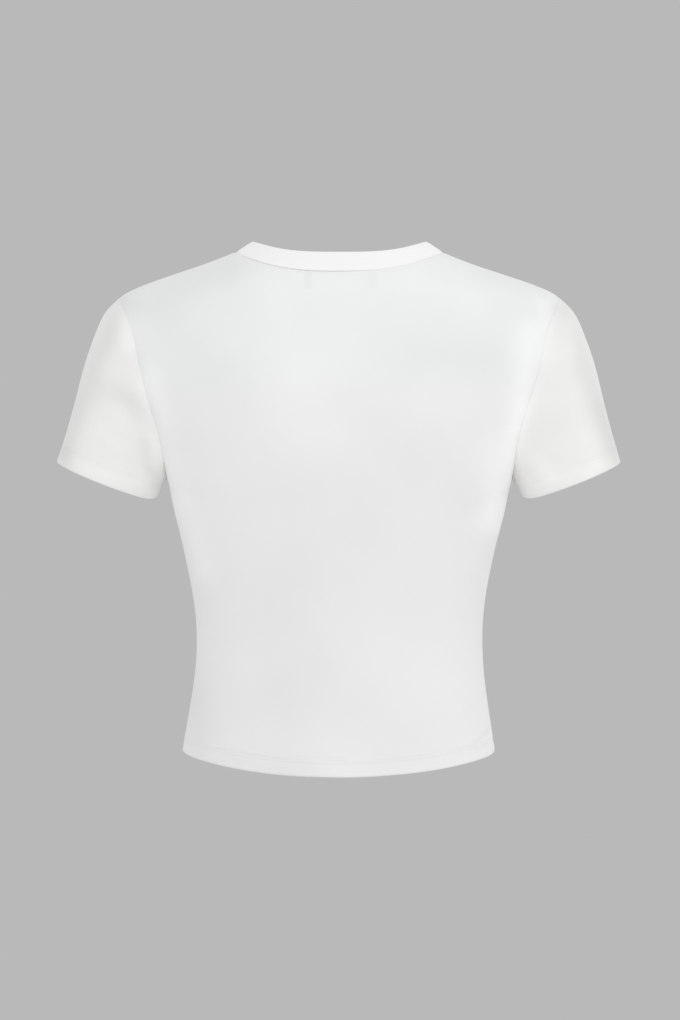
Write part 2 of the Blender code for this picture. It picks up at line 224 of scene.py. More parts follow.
@dataclass(frozen=True)
class BodyForm:
    """Level sections through the body, and the armholes cut from them."""

    hem_side: float = -435.5
    underarm: float = -195.7
    shoulder_tip: float = -38.3
    slope_step: float = 0.05
    columns: tuple[str, ...] = ("height", "half_width", "back", "front", "side", "fullness")
    sections: Table = (
        (0.0, 90.1, 36.0, -32.0, 0.0, 2.0),
        (-10.0, 114.3, 50.5, -37.0, 0.0, 2.0),
        (-21.0, 147.0, 61.3, -42.0, 0.0, 2.0),
        (-30.0, 172.9, 67.5, -46.5, 0.0, 2.0),
        (-38.3, 189.8, 71.5, -50.5, 0.0, 2.0),
        (-50.0, 196.4, 76.3, -55.5, 0.0, 2.05),
        (-75.0, 198.0, 85.5, -66.7, 0.0, 2.15),
        (-99.0, 194.0, 92.3, -78.0, 0.0, 2.25),
        (-119.0, 186.0, 96.3, -88.0, 0.0, 2.3),
        (-148.0, 169.5, 99.4, -103.0, 0.0, 2.4),
        (-178.0, 155.3, 99.3, -115.0, -1.0, 2.45),
        (-200.0, 149.9, 97.2, -122.0, -2.5, 2.45),
        (-225.0, 144.4, 93.3, -126.0, -5.0, 2.4),
        (-252.0, 138.3, 88.5, -124.0, -9.0, 2.35),
        (-278.0, 133.0, 83.8, -118.0, -12.0, 2.3),
        (-304.0, 128.5, 79.2, -111.0, -14.0, 2.25),
        (-345.0, 125.8, 75.5, -103.0, -14.0, 2.2),
        (-391.0, 129.6, 83.0, -101.0, -9.0, 2.2),
        (-420.0, 134.0, 91.0, -102.0, -5.0, 2.2),
        (-450.0, 138.0, 101.0, -104.5, -2.0, 2.2),
    )
    armhole_columns: tuple[str, ...] = ("height", "back_inset", "front_inset")
    armhole: Table = (
        (-38.3, 0.0, 0.0),
        (-58.8, 14.7, 16.5),
        (-75.4, 21.5, 25.5),
        (-99.0, 22.6, 28.5),
        (-119.5, 19.8, 25.3),
        (-148.5, 11.5, 16.0),
        (-178.0, 3.2, 4.8),
        (-195.7, 0.0, 0.0),
    )
    body: dict[str, Curve] = field(init=False)
    insets: dict[str, Curve] = field(init=False)

    def __post_init__(self) -> None:
        """Draws the curves through the tables."""
        object.__setattr__(self, "body", curves(self.columns, self.sections))
        object.__setattr__(self, "insets", curves(self.armhole_columns, self.armhole))

    def half_depth(self, z: Points, side: Side) -> Points:
        """From the side seam to the middle of the back or of the front."""
        middle = self.body["back" if side is Side.BACK else "front"](z)
        return np.abs(middle - self.body["side"](z))

    def y(self, x: Points, z: Points, side: Side) -> Points:
        """Y of the cloth's outer face at this place on the back or the front."""
        power = self.body["fullness"](z)
        share = np.clip(np.abs(x) / self.body["half_width"](z), 0.0, 1.0)
        depth = self.half_depth(z, side) * (1 - share**power) ** (1 / power)
        return self.body["side"](z) + side.value * depth

    def normals(self, points: Points, side: Side) -> Points:
        """The way out of the cloth.

        Args:
            points: Points on the outer face.
            side: The half of the body that they are on.

        Returns:
            A vector of length one for each point.
        """

        def level(at: Points) -> Points:
            """The oval's own equation, which grows outwards."""
            x, y, z = at[..., 0], at[..., 1], at[..., 2]
            power = self.body["fullness"](z)
            across = (np.abs(x) / self.body["half_width"](z)) ** power
            deep = np.abs(y - self.body["side"](z)) / self.half_depth(z, side)
            return across + deep**power

        nudges = self.slope_step * np.eye(3)
        return unit(np.stack([level(points + n) - level(points - n) for n in nudges], axis=-1))

    def edge_x(self, z: float, side: Side) -> float:
        """Half of the panel's width where its edge is at this height."""
        half_width = self.body["half_width"](z)
        if not self.underarm < z < self.shoulder_tip:
            return half_width
        inset = self.insets["back_inset" if side is Side.BACK else "front_inset"](z)
        return half_width - inset


@dataclass(frozen=True)
class Stroke:
    """A line given on one side of the garment, as points of X and Z.

    It fades out within a few millimetres of the side seams.
    """

    SIDE_FADE: ClassVar[float] = 9.0
    ENDS_SHAPE: ClassVar[float] = 0.8
    side: Side
    path: tuple[tuple[float, float], ...]
    width: float

    def line(self, count: int = 24) -> Points:
        """The path as a smooth line of this many points."""
        path = np.array(self.path, float)
        if len(path) == 2:
            return path[0] + np.linspace(0, 1, count)[:, None] * (path[1] - path[0])
        keys = arc_lengths(path)
        at = np.linspace(0, keys[-1], count)
        return np.stack([Curve(keys, path[:, i])(at) for i in range(2)], axis=-1)

    def reach(self, points: Points) -> tuple[Points, Points]:
        """Where points lie by the line.

        Args:
            points: Points on the cloth, in a flat list.

        Returns:
            How far each lies to the left of the line, and its strength there, from the
            line's ends and the side of the garment.
        """
        line = self.line()
        flat = points[:, (0, 2)]
        nearest = np.full(len(flat), np.inf)
        offset, along = np.zeros(len(flat)), np.zeros(len(flat))
        for i, (start, end) in enumerate(zip(line[:-1], line[1:])):
            way = end - start
            share = np.clip((flat - start) @ way / (way @ way), 0, 1)
            gone = flat - start - share[:, None] * way
            distance = np.hypot(gone[:, 0], gone[:, 1])
            closer = distance < nearest
            turned = way[0] * gone[:, 1] - way[1] * gone[:, 0]
            nearest = np.where(closer, distance, nearest)
            offset = np.where(closer, np.copysign(distance, turned), offset)
            along = np.where(closer, (i + share) / (len(line) - 1), along)
        on_side = points[:, 1] * self.side.value
        facing = smooth_step((on_side + self.SIDE_FADE) / (2 * self.SIDE_FADE))
        return offset, facing * self.ends(along)

    def ends(self, along: Points) -> Points:
        """How strong the stroke is at each share of its length."""
        return np.sin(np.pi * np.clip(along, 0, 1)) ** self.ENDS_SHAPE


@dataclass(frozen=True)
class Fold(Stroke):
    """A soft fold laid on the cloth.

    A depth below zero is a trough. The lip is the share of the depth that stands the
    other way beside it, to the left of its direction if it is above zero.
    """

    LIP_PLACE: ClassVar[float] = 1.7
    LIP_WIDTH: ClassVar[float] = 1.2
    depth: float
    lip: float

    def lift(self, points: Points) -> Points:
        """How many millimetres the fold raises each point of a flat list."""
        offset, strength = self.reach(points)
        beside = offset - math.copysign(self.LIP_PLACE * self.width, self.lip or 1)
        lip = abs(self.lip) * bell(beside, self.LIP_WIDTH * self.width)
        return self.depth * (bell(offset, self.width) - lip) * strength


@dataclass(frozen=True)
class PaintedLightPatch(Stroke):
    """A soft patch of painted light laid on the cloth's colour; where its tone is below zero it is
    painted shade.
    """

    # Painted light added in the patch's middle; below zero it is painted shade
    tone: float

    def ends(self, along: Points) -> Points:
        """A patch is as strong at its ends as in its middle."""
        return np.ones_like(along)

    def change(self, points: Points) -> Points:
        """The painted light the patch adds at each point of a flat list; below zero, painted
        shade.
        """
        offset, strength = self.reach(points)
        return self.tone * bell(offset, self.width) * strength


# Each fold's path, width, depth and lip
BACK_FOLDS = (
    # Left sleeve from behind: a long trough from its outer middle to the underarm
    (((222, -112), (205, -122), (184, -137), (167, -166)), 9.5, -2.6, -0.5),
    (((190, -160), (178, -174), (166, -192)), 7, -1.1, 0.3),
    (((226, -142), (208, -156), (192, -176)), 9, 0.9, 0.2),
    # Right sleeve from behind: shallower, with an upright ridge above the cuff
    (((-216, -108), (-198, -118), (-178, -134)), 10, -1.5, 0.4),
    (((-200, -138), (-203, -156), (-206, -176)), 6.5, 1.0, 0.3),
    (((-186, -150), (-182, -168), (-174, -188)), 8, -1.2, -0.3),
    # Drag lines from the underarms, the hollow between the shoulder blades, the blades
    (((150, -196), (128, -214), (98, -226)), 9, -0.9, 0.3),
    (((-149, -200), (-126, -222), (-96, -236)), 10, -0.9, -0.3),
    (((4, -62), (0, -110), (-6, -170)), 34, -1.1, 0.0),
    (((98, -80), (88, -112), (70, -150)), 26, 1.0, 0.0),
    (((-96, -78), (-88, -112), (-66, -152)), 28, 1.1, 0.0),
    # Short creases at the hem's right corner, and faint marks at its left
    (((-134, -412), (-126, -419), (-116, -426)), 2.6, -1.1, 0.6),
    (((-141, -428), (-128, -434), (-110, -436)), 3.0, 0.7, 0.3),
    (((-62, -445), (-76, -439), (-92, -432)), 4, 0.6, 0.4),
    (((112, -404), (108, -420), (104, -436)), 4, -0.5, 0.4),
    # A small pinch at the right neck point
    (((-82, -1), (-88, -4), (-97, -9)), 2.4, -0.9, 0.5),
)
FRONT_FOLDS = (
    # Drag lines from underarm to bust, uneven from side to side
    (((147, -200), (120, -214), (88, -212)), 9, -1.7, 0.4),
    (((150, -188), (126, -192), (102, -184)), 7, -1.2, -0.3),
    (((-146, -202), (-118, -219), (-84, -220)), 10, -1.8, -0.4),
    (((-150, -184), (-130, -186), (-108, -176)), 7, -1, 0.3),
    # The hollow between the busts, and the soft drop below each
    (((2, -150), (0, -196), (3, -240)), 22, -2.6, 0.0),
    (((58, -170), (62, -206), (58, -236)), 30, 1.8, 0.0),
    (((-60, -172), (-62, -208), (-56, -238)), 30, 1.8, 0.0),
    (((72, -268), (66, -310), (70, -356)), 15, -1.2, 0.3),
    (((-66, -276), (-72, -322), (-64, -372)), 14, -1, -0.3),
    (((20, -352), (60, -362), (104, -350)), 11, -0.9, 0.4),
    (((-28, -386), (-66, -392), (-102, -376)), 10, -0.8, 0.4),
    # Short creases at the hem's left corner and at the armholes
    (((134, -416), (122, -424), (104, -430)), 3.6, -1.2, 0.4),
    (((158, -116), (142, -128), (128, -146)), 8, -1.3, 0.3),
    (((-156, -112), (-140, -126), (-122, -146)), 8, -1.2, -0.3),
    # The sleeves
    (((220, -116), (200, -128), (178, -146)), 9, -2.5, -0.4),
    (((-222, -120), (-204, -130), (-180, -150)), 9, -2.7, 0.4),
    (((204, -150), (190, -166), (172, -186)), 7, -1.3, 0.3),
    (((-196, -158), (-184, -172), (-170, -190)), 7, -1.3, -0.3),
)
FOLDS = (
    *(Fold(Side.BACK, *row) for row in BACK_FOLDS),
    *(Fold(Side.FRONT, *row) for row in FRONT_FOLDS),
)


# Each painted light patch's path, width and tone; a tone below zero is painted shade
BACK_PAINTED_PATCHES = (
    # Painted highlight between the shoulder blades, in a wedge from the neck
    (((6, -17), (6, -148)), 36, 0.026),
    (((64, -28), (33, -116)), 18, 0.022),
    (((-51, -17), (-110, -49)), 18, 0.03),
    (((-72, -8), (-104, -20)), 10, 0.035),
    (((42, -28), (-62, -28)), 22, 0.022),
    # Painted shade over the left shoulder and both blades
    (((177, -53), (93, -22)), 15, -0.05),
    (((142, -66), (83, -133)), 21, -0.024),
    (((-68, -99), (-122, -99)), 24, -0.035),
    # Painted shade over the small of the back, most of all on its left and in the middle
    (((104, -402), (7, -385), (-51, -418)), 36, -0.036),
    (((33, -267), (24, -351)), 24, -0.022),
    (((0, -138), (-62, -176), (-112, -212)), 26, -0.026),
    (((88, -440), (24, -450)), 15, -0.035),
    (((56, -296), (44, -436)), 24, -0.02),
    (((125, -385), (117, -440)), 13, -0.03),
    (((30, -200), (-6, -208), (-24, -244)), 26, -0.02),
    # Painted highlight beside the armholes
    (((159, -116), (143, -175), (129, -234), (117, -276)), 13, 0.06),
    (((-161, -74), (-154, -133), (-142, -183), (-134, -234)), 12, 0.078),
    (((-158, -138), (-150, -168), (-149, -198)), 7, 0.06),
    (((158, -166), (151, -198)), 6, 0.05),
    (((146, -184), (142, -224)), 8, 0.03),
    (((-128, -172), (-124, -236)), 13, 0.035),
    # The sleeves: painted shade along their outer edges, painted highlight towards the cuffs
    (((189, -49), (212, -105), (238, -178)), 11, -0.09),
    (((-194, -54), (-215, -114), (-237, -178)), 11, -0.09),
    (((-224, -138), (-242, -180)), 8, -0.05),
    (((236, -176), (230, -196)), 8, -0.05),
    (((187, -52), (180, -84)), 8, 0.07),
    (((-197, -64), (-199, -88)), 7, 0.045),
    (((166, -168), (160, -204)), 6, -0.05),
    (((-171, -186), (-181, -196)), 7, 0.045),
    (((-176, -50), (-174, -92)), 8, 0.045),
    (((205, -127), (183, -131), (162, -144)), 9, -0.035),
    (((209, -161), (163, -178)), 15, 0.035),
    (((226, -187), (162, -204)), 9, 0.045),
    (((-211, -165), (-168, -178)), 15, 0.035),
    (((-224, -187), (-164, -204)), 9, 0.045),
)
PAINTED_PATCHES = tuple(PaintedLightPatch(Side.BACK, *row) for row in BACK_PAINTED_PATCHES)


@dataclass(frozen=True)
class Drape:
    """All that keeps the cloth from being perfectly even: its folds and waves, and the painted
    light and shade patches on its colour.
    """

    folds: tuple[Fold, ...] = FOLDS
    painted_patches: tuple[PaintedLightPatch, ...] = PAINTED_PATCHES
    drift: float = 0.35
    waves: int = 7
    shortest: float = 75.0
    longest: float = 170.0
    hem_wave: float = 0.6
    hem_reach: float = 22.0
    hem_ripples: Table = ((1.0, 5, 0.7), (0.7, 9, 2.1))
    armhole_fill: float = 5.0
    armhole_reach: float = 17.0
    armhole_from: float = 8.0
    armhole_over: float = 24.0
    seed: int = 41

    def lift(self, points: Points, edge_distance: Points | None = None) -> Points:
        """How far the cloth stands out of its form at each point.

        Args:
            points: Points on the outer face.
            edge_distance: How far each lies above its free edge, or None.

        Returns:
            Millimetres outwards.
        """
        flat = points.reshape(-1, 3)
        total = sum(fold.lift(flat) for fold in self.folds).reshape(points.shape[:-1])
        chance = np.random.default_rng(self.seed)
        for _ in range(self.waves):
            way = unit(chance.normal(size=3))
            length = chance.uniform(self.shortest, self.longest)
            phase = chance.uniform(0, 2 * math.pi)
            swing = np.sin(points @ way * (2 * math.pi / length) + phase)
            total = total + self.drift * swing / math.sqrt(self.waves / 2)
        if edge_distance is not None:
            around = np.arctan2(points[..., 1], points[..., 0])
            ripple = sum(
                size * np.sin(count * around + phase) for size, count, phase in self.hem_ripples
            )
            total = total + self.hem_wave * ripple * np.exp(-edge_distance / self.hem_reach)
        return total

    def fill(self, points: Points, from_armhole: Points) -> Points:
        """How the cloth bridges the valley along an armhole seam.

        Args:
            points: Points on the outer face.
            from_armhole: How far each lies from the seam.

        Returns:
            A shift of each point, straight back or straight to the front.
        """
        depth = points[..., 1]
        clear = smooth_step((np.abs(depth) - self.armhole_from) / self.armhole_over)
        beside = np.sign(depth) * clear
        shift = self.armhole_fill * bell(from_armhole, self.armhole_reach) * beside
        return shift[..., None] * BACKWARDS

    def tone(self, points: Points) -> Points:
        """The painted light at each point, from all the patches; below zero it is painted shade.
        """
        flat = points.reshape(-1, 3)
        return sum(painted_shading.change(flat) for painted_shading in self.painted_patches).reshape(points.shape[:-1])


@dataclass
class Net:
    """The two faces of a piece of cloth, as nets of points in the same order.

    A ring's rows close round. The tone is the painted light and shade on the cloth's colour at
    each point, and the rises are how far each row lies above the free edge.
    """

    INWARDS: ClassVar[int] = 3
    outer: Points
    inner: Points
    uv: Points
    ring: bool = False
    tone: Points | None = None
    rises: Points | None = None

    def report(self, name: str) -> None:
        """Logs the outer face's widest row, longest line and area."""
        net = np.concatenate([self.outer, self.outer[:, :1]], axis=1) if self.ring else self.outer
        one, other = net[1:, 1:] - net[:-1, :-1], net[1:, :-1] - net[:-1, 1:]
        area = float(np.linalg.norm(np.cross(one, other), axis=-1).sum() / 2) * MM * MM
        width, length = row_lengths(self.outer).max(), column_lengths(self.outer).max()
        log.info("cut %s: widest %.1f, longest %.1f, area %.4f", name, width, length, area)

    def line_at(self, rise: float, inside: bool) -> tuple[Points, Points]:
        """A row's points for a line of stitches, and the ways out of the cloth there."""
        row = int(np.argmin(np.abs(self.rises - rise)))
        out = unit(self.outer[row] - self.inner[row])
        return (self.inner[row], -out) if inside else (self.outer[row], out)

    def strip(
        self, by_row: bool, at_end: bool, stations: Sequence[float]
    ) -> tuple[Points, Points]:
        """Lines of points on the inner face that run beside one of its edges.

        Args:
            by_row: True if distances run along the rows, else along the columns.
            at_end: True for the far edge of each row or column.
            stations: Distances from the edge; below zero lies past it.

        Returns:
            The points, [place along the edge][station], and the way out at each.
        """
        inner, outer = self.inner, self.outer
        if not by_row:
            inner, outer = inner.transpose(1, 0, 2), outer.transpose(1, 0, 2)
        if at_end:
            inner, outer = inner[:, ::-1], outer[:, ::-1]
        found, ways = [], []
        for line, above in zip(inner, outer):
            reach = arc_lengths(line)
            out = unit(above - line)
            past = np.minimum(np.array(stations), 0.0)[:, None]
            past = past * unit(line[self.INWARDS] - line[0])
            found.append(points_at(stations, reach, line) + past)
            ways.append(unit(points_at(stations, reach, out)))
        return np.array(found), np.array(ways)


def shell_faces(index: Points, other: Points, ring: bool) -> list[list[int]]:
    """Faces of the closed wall between two nets of corner numbers.

    Args:
        index: The outer net's numbers; a ring's last column repeats its first.
        other: The inner net's.
        ring: Whether the nets close round.

    Returns:
        The faces' corner numbers.
    """
    faces = []
    for net in (index, other[:, ::-1]):
        corners = (net[:-1, :-1], net[:-1, 1:], net[1:, 1:], net[1:, :-1])
        faces += np.stack(corners, axis=-1).reshape(-1, 4).tolist()
    edges = [(index[0], other[0]), (index[-1][::-1], other[-1][::-1])]
    if not ring:
        edges += [(index[::-1, 0], other[::-1, 0]), (index[:, -1], other[:, -1])]
    for near, far in edges:
        faces += np.stack((far[:-1], far[1:], near[1:], near[:-1]), axis=-1).tolist()
    return faces


def link_object(name: str, data: ID) -> Object:
    """A new object of this data, in the scene."""
    made = bpy.data.objects.new(name, data)
    bpy.context.collection.objects.link(made)
    return made


def smooth_piece(mesh: Mesh, corners: Points, material: Material) -> Object:
    """A smooth piece of a closed mesh.

    Args:
        mesh: Its points and faces.
        corners: The place of each face's corners on the flat cloth, in millimetres.
        material: Its finish.

    Returns:
        The object, at the origin, with its faces outwards.
    """
    layer = mesh.uv_layers.new(name=CLOTH_UV)
    layer.data.foreach_set("uv", (corners * MM).astype(np.float32).reshape(-1))
    made = bmesh.new()
    made.from_mesh(mesh)
    bmesh.ops.recalc_face_normals(made, faces=made.faces)
    made.to_mesh(mesh)
    made.free()
    mesh.materials.append(material)
    mesh.shade_smooth()
    return link_object(mesh.name, mesh)


def make_mesh(name: str, nets: Sequence[Net], material: Material) -> Object:
    """A mesh object of one or more closed shells.

    Args:
        name: The piece's name.
        nets: Its shells.
        material: Its finish.

    Returns:
        The object, at the origin, with its faces outwards.
    """
    points, faces, maps, corner_faces, painted_light_values = [], [], [], [], []
    first, first_corner = 0, 0
    for net in nets:
        rows, columns = net.outer.shape[:2]
        size = rows * columns
        index = first + np.arange(size).reshape(rows, columns)
        other = index + size
        if net.ring:
            index, other = (np.column_stack([n, n[:, 0]]) for n in (index, other))
        mapped = first_corner + np.arange(net.uv.shape[0] * net.uv.shape[1])
        mapped = mapped.reshape(net.uv.shape[:2])
        faces += shell_faces(index, other, net.ring)
        corner_faces += shell_faces(mapped, mapped, net.ring)
        points += [net.outer.reshape(-1, 3), net.inner.reshape(-1, 3)]
        # The painted light and shade of each point, the same on both faces
        painted_light_values += [np.zeros(size) if net.tone is None else net.tone.reshape(-1)] * 2
        maps.append(net.uv.reshape(-1, 2))
        first += 2 * size
        first_corner += mapped.size
    mesh = bpy.data.meshes.new(name)
    mesh.from_pydata((np.concatenate(points) * MM).tolist(), [], faces)
    # The painted light and shade as a point attribute, which the jersey's colour reads
    painted_shading = mesh.attributes.new(PAINTED_LIGHT_ATTRIBUTE, "FLOAT", "POINT")
    painted_shading.data.foreach_set("value", np.concatenate(painted_light_values).astype(np.float32))
    corners = np.concatenate(maps)[np.array(corner_faces).reshape(-1)]
    piece = smooth_piece(mesh, corners, material)
    mesh.set_sharp_from_angle(angle=SHARP_ANGLE)
    return piece


def settle(piece: Object, nodes: Sequence[str] = ()) -> Object:
    """Ties a finished piece to the body and hides the solids it stands for."""
    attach(piece, "root")
    if nodes:
        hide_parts(*nodes)
    triangles = sum(len(face.vertices) - 2 for face in piece.data.polygons)
    log.info("piece %s: %d triangles", piece.name, triangles)
    return piece


@dataclass(frozen=True)
class Row:
    """A row of a panel: its heights at the edge and in the middle, and its bow.

    The squarer it is, the flatter its middle. The lower its turn, the more sharply it
    leaves its ends.
    """

    edge: float
    middle: float
    square: float = 2.0
    turn: float = 1.0

    def raised(self, rise: float) -> "Row":
        """The same row this much higher."""
        return replace(self, edge=self.edge + rise, middle=self.middle + rise)

    def towards(self, other: "Row", share: float, edge_share: float) -> "Row":
        """A row part of the way to another.

        Args:
            other: The other row.
            share: How far on the middle and the bow are.
            edge_share: How far on the edge is.

        Returns:
            The row between them.
        """
        keep = 1 - share
        return Row(
            self.edge + edge_share * (other.edge - self.edge),
            self.middle + share * (other.middle - self.middle),
            keep * self.square + share * other.square,
            keep * self.turn + share * other.turn,
        )


class Crowd(Enum):
    """Where the rows of a stretch lie closer together along its edge."""

    NONE = 0
    TOP = 1
    BOTH = 2

    def reach(self, share: float) -> float:
        """How far up the edge a row starts, as a share of the stretch."""
        if self is Crowd.TOP:
            return math.sin(share * math.pi / 2)
        return (1 - math.cos(share * math.pi)) / 2 if self is Crowd.BOTH else share


@dataclass
class Panel:
    """The back or the front, one piece from the shoulder line to the hem."""

    side: Side
    hem: Row
    underarm: Row
    shoulder_tip: Row
    neck: Row
    form: BodyForm = field(default_factory=BodyForm)
    drape: Drape = field(default_factory=Drape)
    body_rows: int = 120
    armhole_rows: int = 64
    shoulder_rows: int = 32
    columns: int = 128
    row_samples: int = 601
    crowd: float = 0.72
    least_step: float = 1.5
    neck_groove: float = 0.85
    neck_groove_least: float = 0.5
    neck_groove_from: float = -54.0
    neck_groove_over: float = 90.0
    needle_rows: tuple[float, float] = (10.9, 13.5)
    looper_row: float = 12.2
    fold_rises: tuple[float, ...] = (
        0.0, 0.15, 0.45, 0.85, 1.4, 2.4, 4.0, 6.0, 8.0, 9.6, 10.4, 10.9, 11.4, 12.2,
        13.0, 13.5, 14.0, 14.6, 15.0, 15.8,
    )
    net: Net = field(init=False)
    bare: Points = field(init=False)

    @classmethod
    def back(cls) -> "Panel":
        """The back, with its neck scooped a little."""
        return cls(
            Side.BACK,
            hem=Row(BodyForm.hem_side, -447.5),
            underarm=Row(BodyForm.underarm, -205.0),
            shoulder_tip=Row(BodyForm.shoulder_tip, -84.0, 2.2, 0.95),
            neck=Row(0.0, -22.2, 2.5, 0.84),
        )

    @classmethod
    def front(cls) -> "Panel":
        """The front, with its neck scooped deeper."""
        return cls(
            Side.FRONT,
            hem=Row(BodyForm.hem_side, -444.0),
            underarm=Row(BodyForm.underarm, -225.0),
            shoulder_tip=Row(BodyForm.shoulder_tip, -138.0, 2.1, 0.8),
            neck=Row(0.0, -86.0, 2.2, 0.62),
        )

    def rows(self) -> list[Row]:
        """All rows from the hem, where they follow its fold, to the neckline."""
        rows = [self.hem.raised(rise) for rise in self.fold_rises]
        above_fold = rows[-1].edge + self.least_step
        for low, high, count, crowd in (
            (self.hem, self.underarm, self.body_rows, Crowd.TOP),
            (self.underarm, self.shoulder_tip, self.armhole_rows, Crowd.BOTH),
            (self.shoulder_tip, self.neck, self.shoulder_rows, Crowd.NONE),
        ):
            shares = [i / count for i in range(count)]
            between = [low.towards(high, share, crowd.reach(share)) for share in shares]
            rows += [row for row in between if row.edge >= above_fold]
        return [*rows, self.neck]

    def line(self, row: Row) -> Points:
        """A row's points, from the wearer's right to the left.

        Args:
            row: Its heights and its bow.

        Returns:
            Points that crowd towards both ends.
        """
        share = np.sin(np.linspace(-0.5, 0.5, self.row_samples) * math.pi)
        x = self.form.edge_x(row.edge, self.side) * share
        bow = (1 - np.abs(share) ** row.square) ** row.turn
        z = row.edge + (row.middle - row.edge) * bow
        line = np.stack([x, self.form.y(x, z, self.side), z], axis=-1)
        even = np.linspace(0, 1, self.columns + 1)
        crowded = (1 - np.cos(even * math.pi)) / 2
        reach = arc_lengths(line)
        wanted = ((1 - self.crowd) * even + self.crowd * crowded) * reach[-1]
        return points_at(wanted, reach, line)

    def apart(self) -> Points:
        """The shift that keeps this panel clear of the other."""
        return self.side.value * CLOTH.seam_gap / 2 * BACKWARDS

    def build(self) -> "Panel":
        """Draws both faces.

        Returns:
            The panel itself.
        """
        rows = self.rows()
        self.bare = np.array([self.line(row) for row in rows])
        rises = np.array([row.edge - self.hem.edge for row in rows])
        out = self.form.normals(self.bare, self.side)
        across, along = row_lengths(self.bare), column_lengths(self.bare)
        from_side = np.minimum(across, across[:, -1:] - across)
        rise = np.broadcast_to(rises[:, None], across.shape)
        lift = self.drape.lift(self.bare, rise) - CLOTH.pressed(from_side)
        lift = lift - self.neck_press(along[-1] - along)
        lift = CLOTH.stitched(lift, rise, self.needle_rows)
        wall, round_over = CLOTH.walls(rise, CLOTH.hem_fold)
        shift = self.apart() + self.drape.fill(self.bare, self.from_armhole())
        self.net = Net(
            self.bare + (lift - round_over)[..., None] * out + shift,
            self.bare + (lift - wall + round_over)[..., None] * out + shift,
            np.stack([across - across[:, -1:] / 2, along], axis=-1),
            # The painted light and shade patches on the panel's colour
            tone=self.drape.tone(self.bare),
            rises=rises,
        )
        return self

    def neck_press(self, from_neck: Points) -> Points:
        """How deep the band's seam draws the cloth in, less on the wearer's right."""
        place = (self.bare[..., 0] - self.neck_groove_from) / self.neck_groove_over
        least = self.neck_groove_least
        uneven = least + (1 - least) * smooth_step(place)
        return self.neck_groove * uneven * bell(from_neck, CLOTH.groove_width)

    def from_armhole(self) -> Points:
        """How far each point of the net lies from the nearer armhole seam."""
        flat = self.bare.reshape(-1, 3)
        nearest = np.full(len(flat), np.inf)
        for hand in Hand:
            for point in self.armhole_edge(hand)[0]:
                nearest = np.minimum(nearest, np.linalg.norm(flat - point, axis=1))
        return nearest.reshape(self.bare.shape[:2])

    def armhole_edge(self, hand: Hand) -> tuple[Points, Points]:
        """The bare edge from the shoulder tip to the underarm, and the way out there.

        Args:
            hand: Which armhole.

        Returns:
            The points, which stand apart from the other panel's, and the normals.
        """
        tip = -1 - self.shoulder_rows
        edge = slice(tip, tip - self.armhole_rows - 1, -1)
        points = self.bare[edge, -1 if hand is Hand.LEFT else 0]
        return points + self.apart(), self.form.normals(points, self.side)


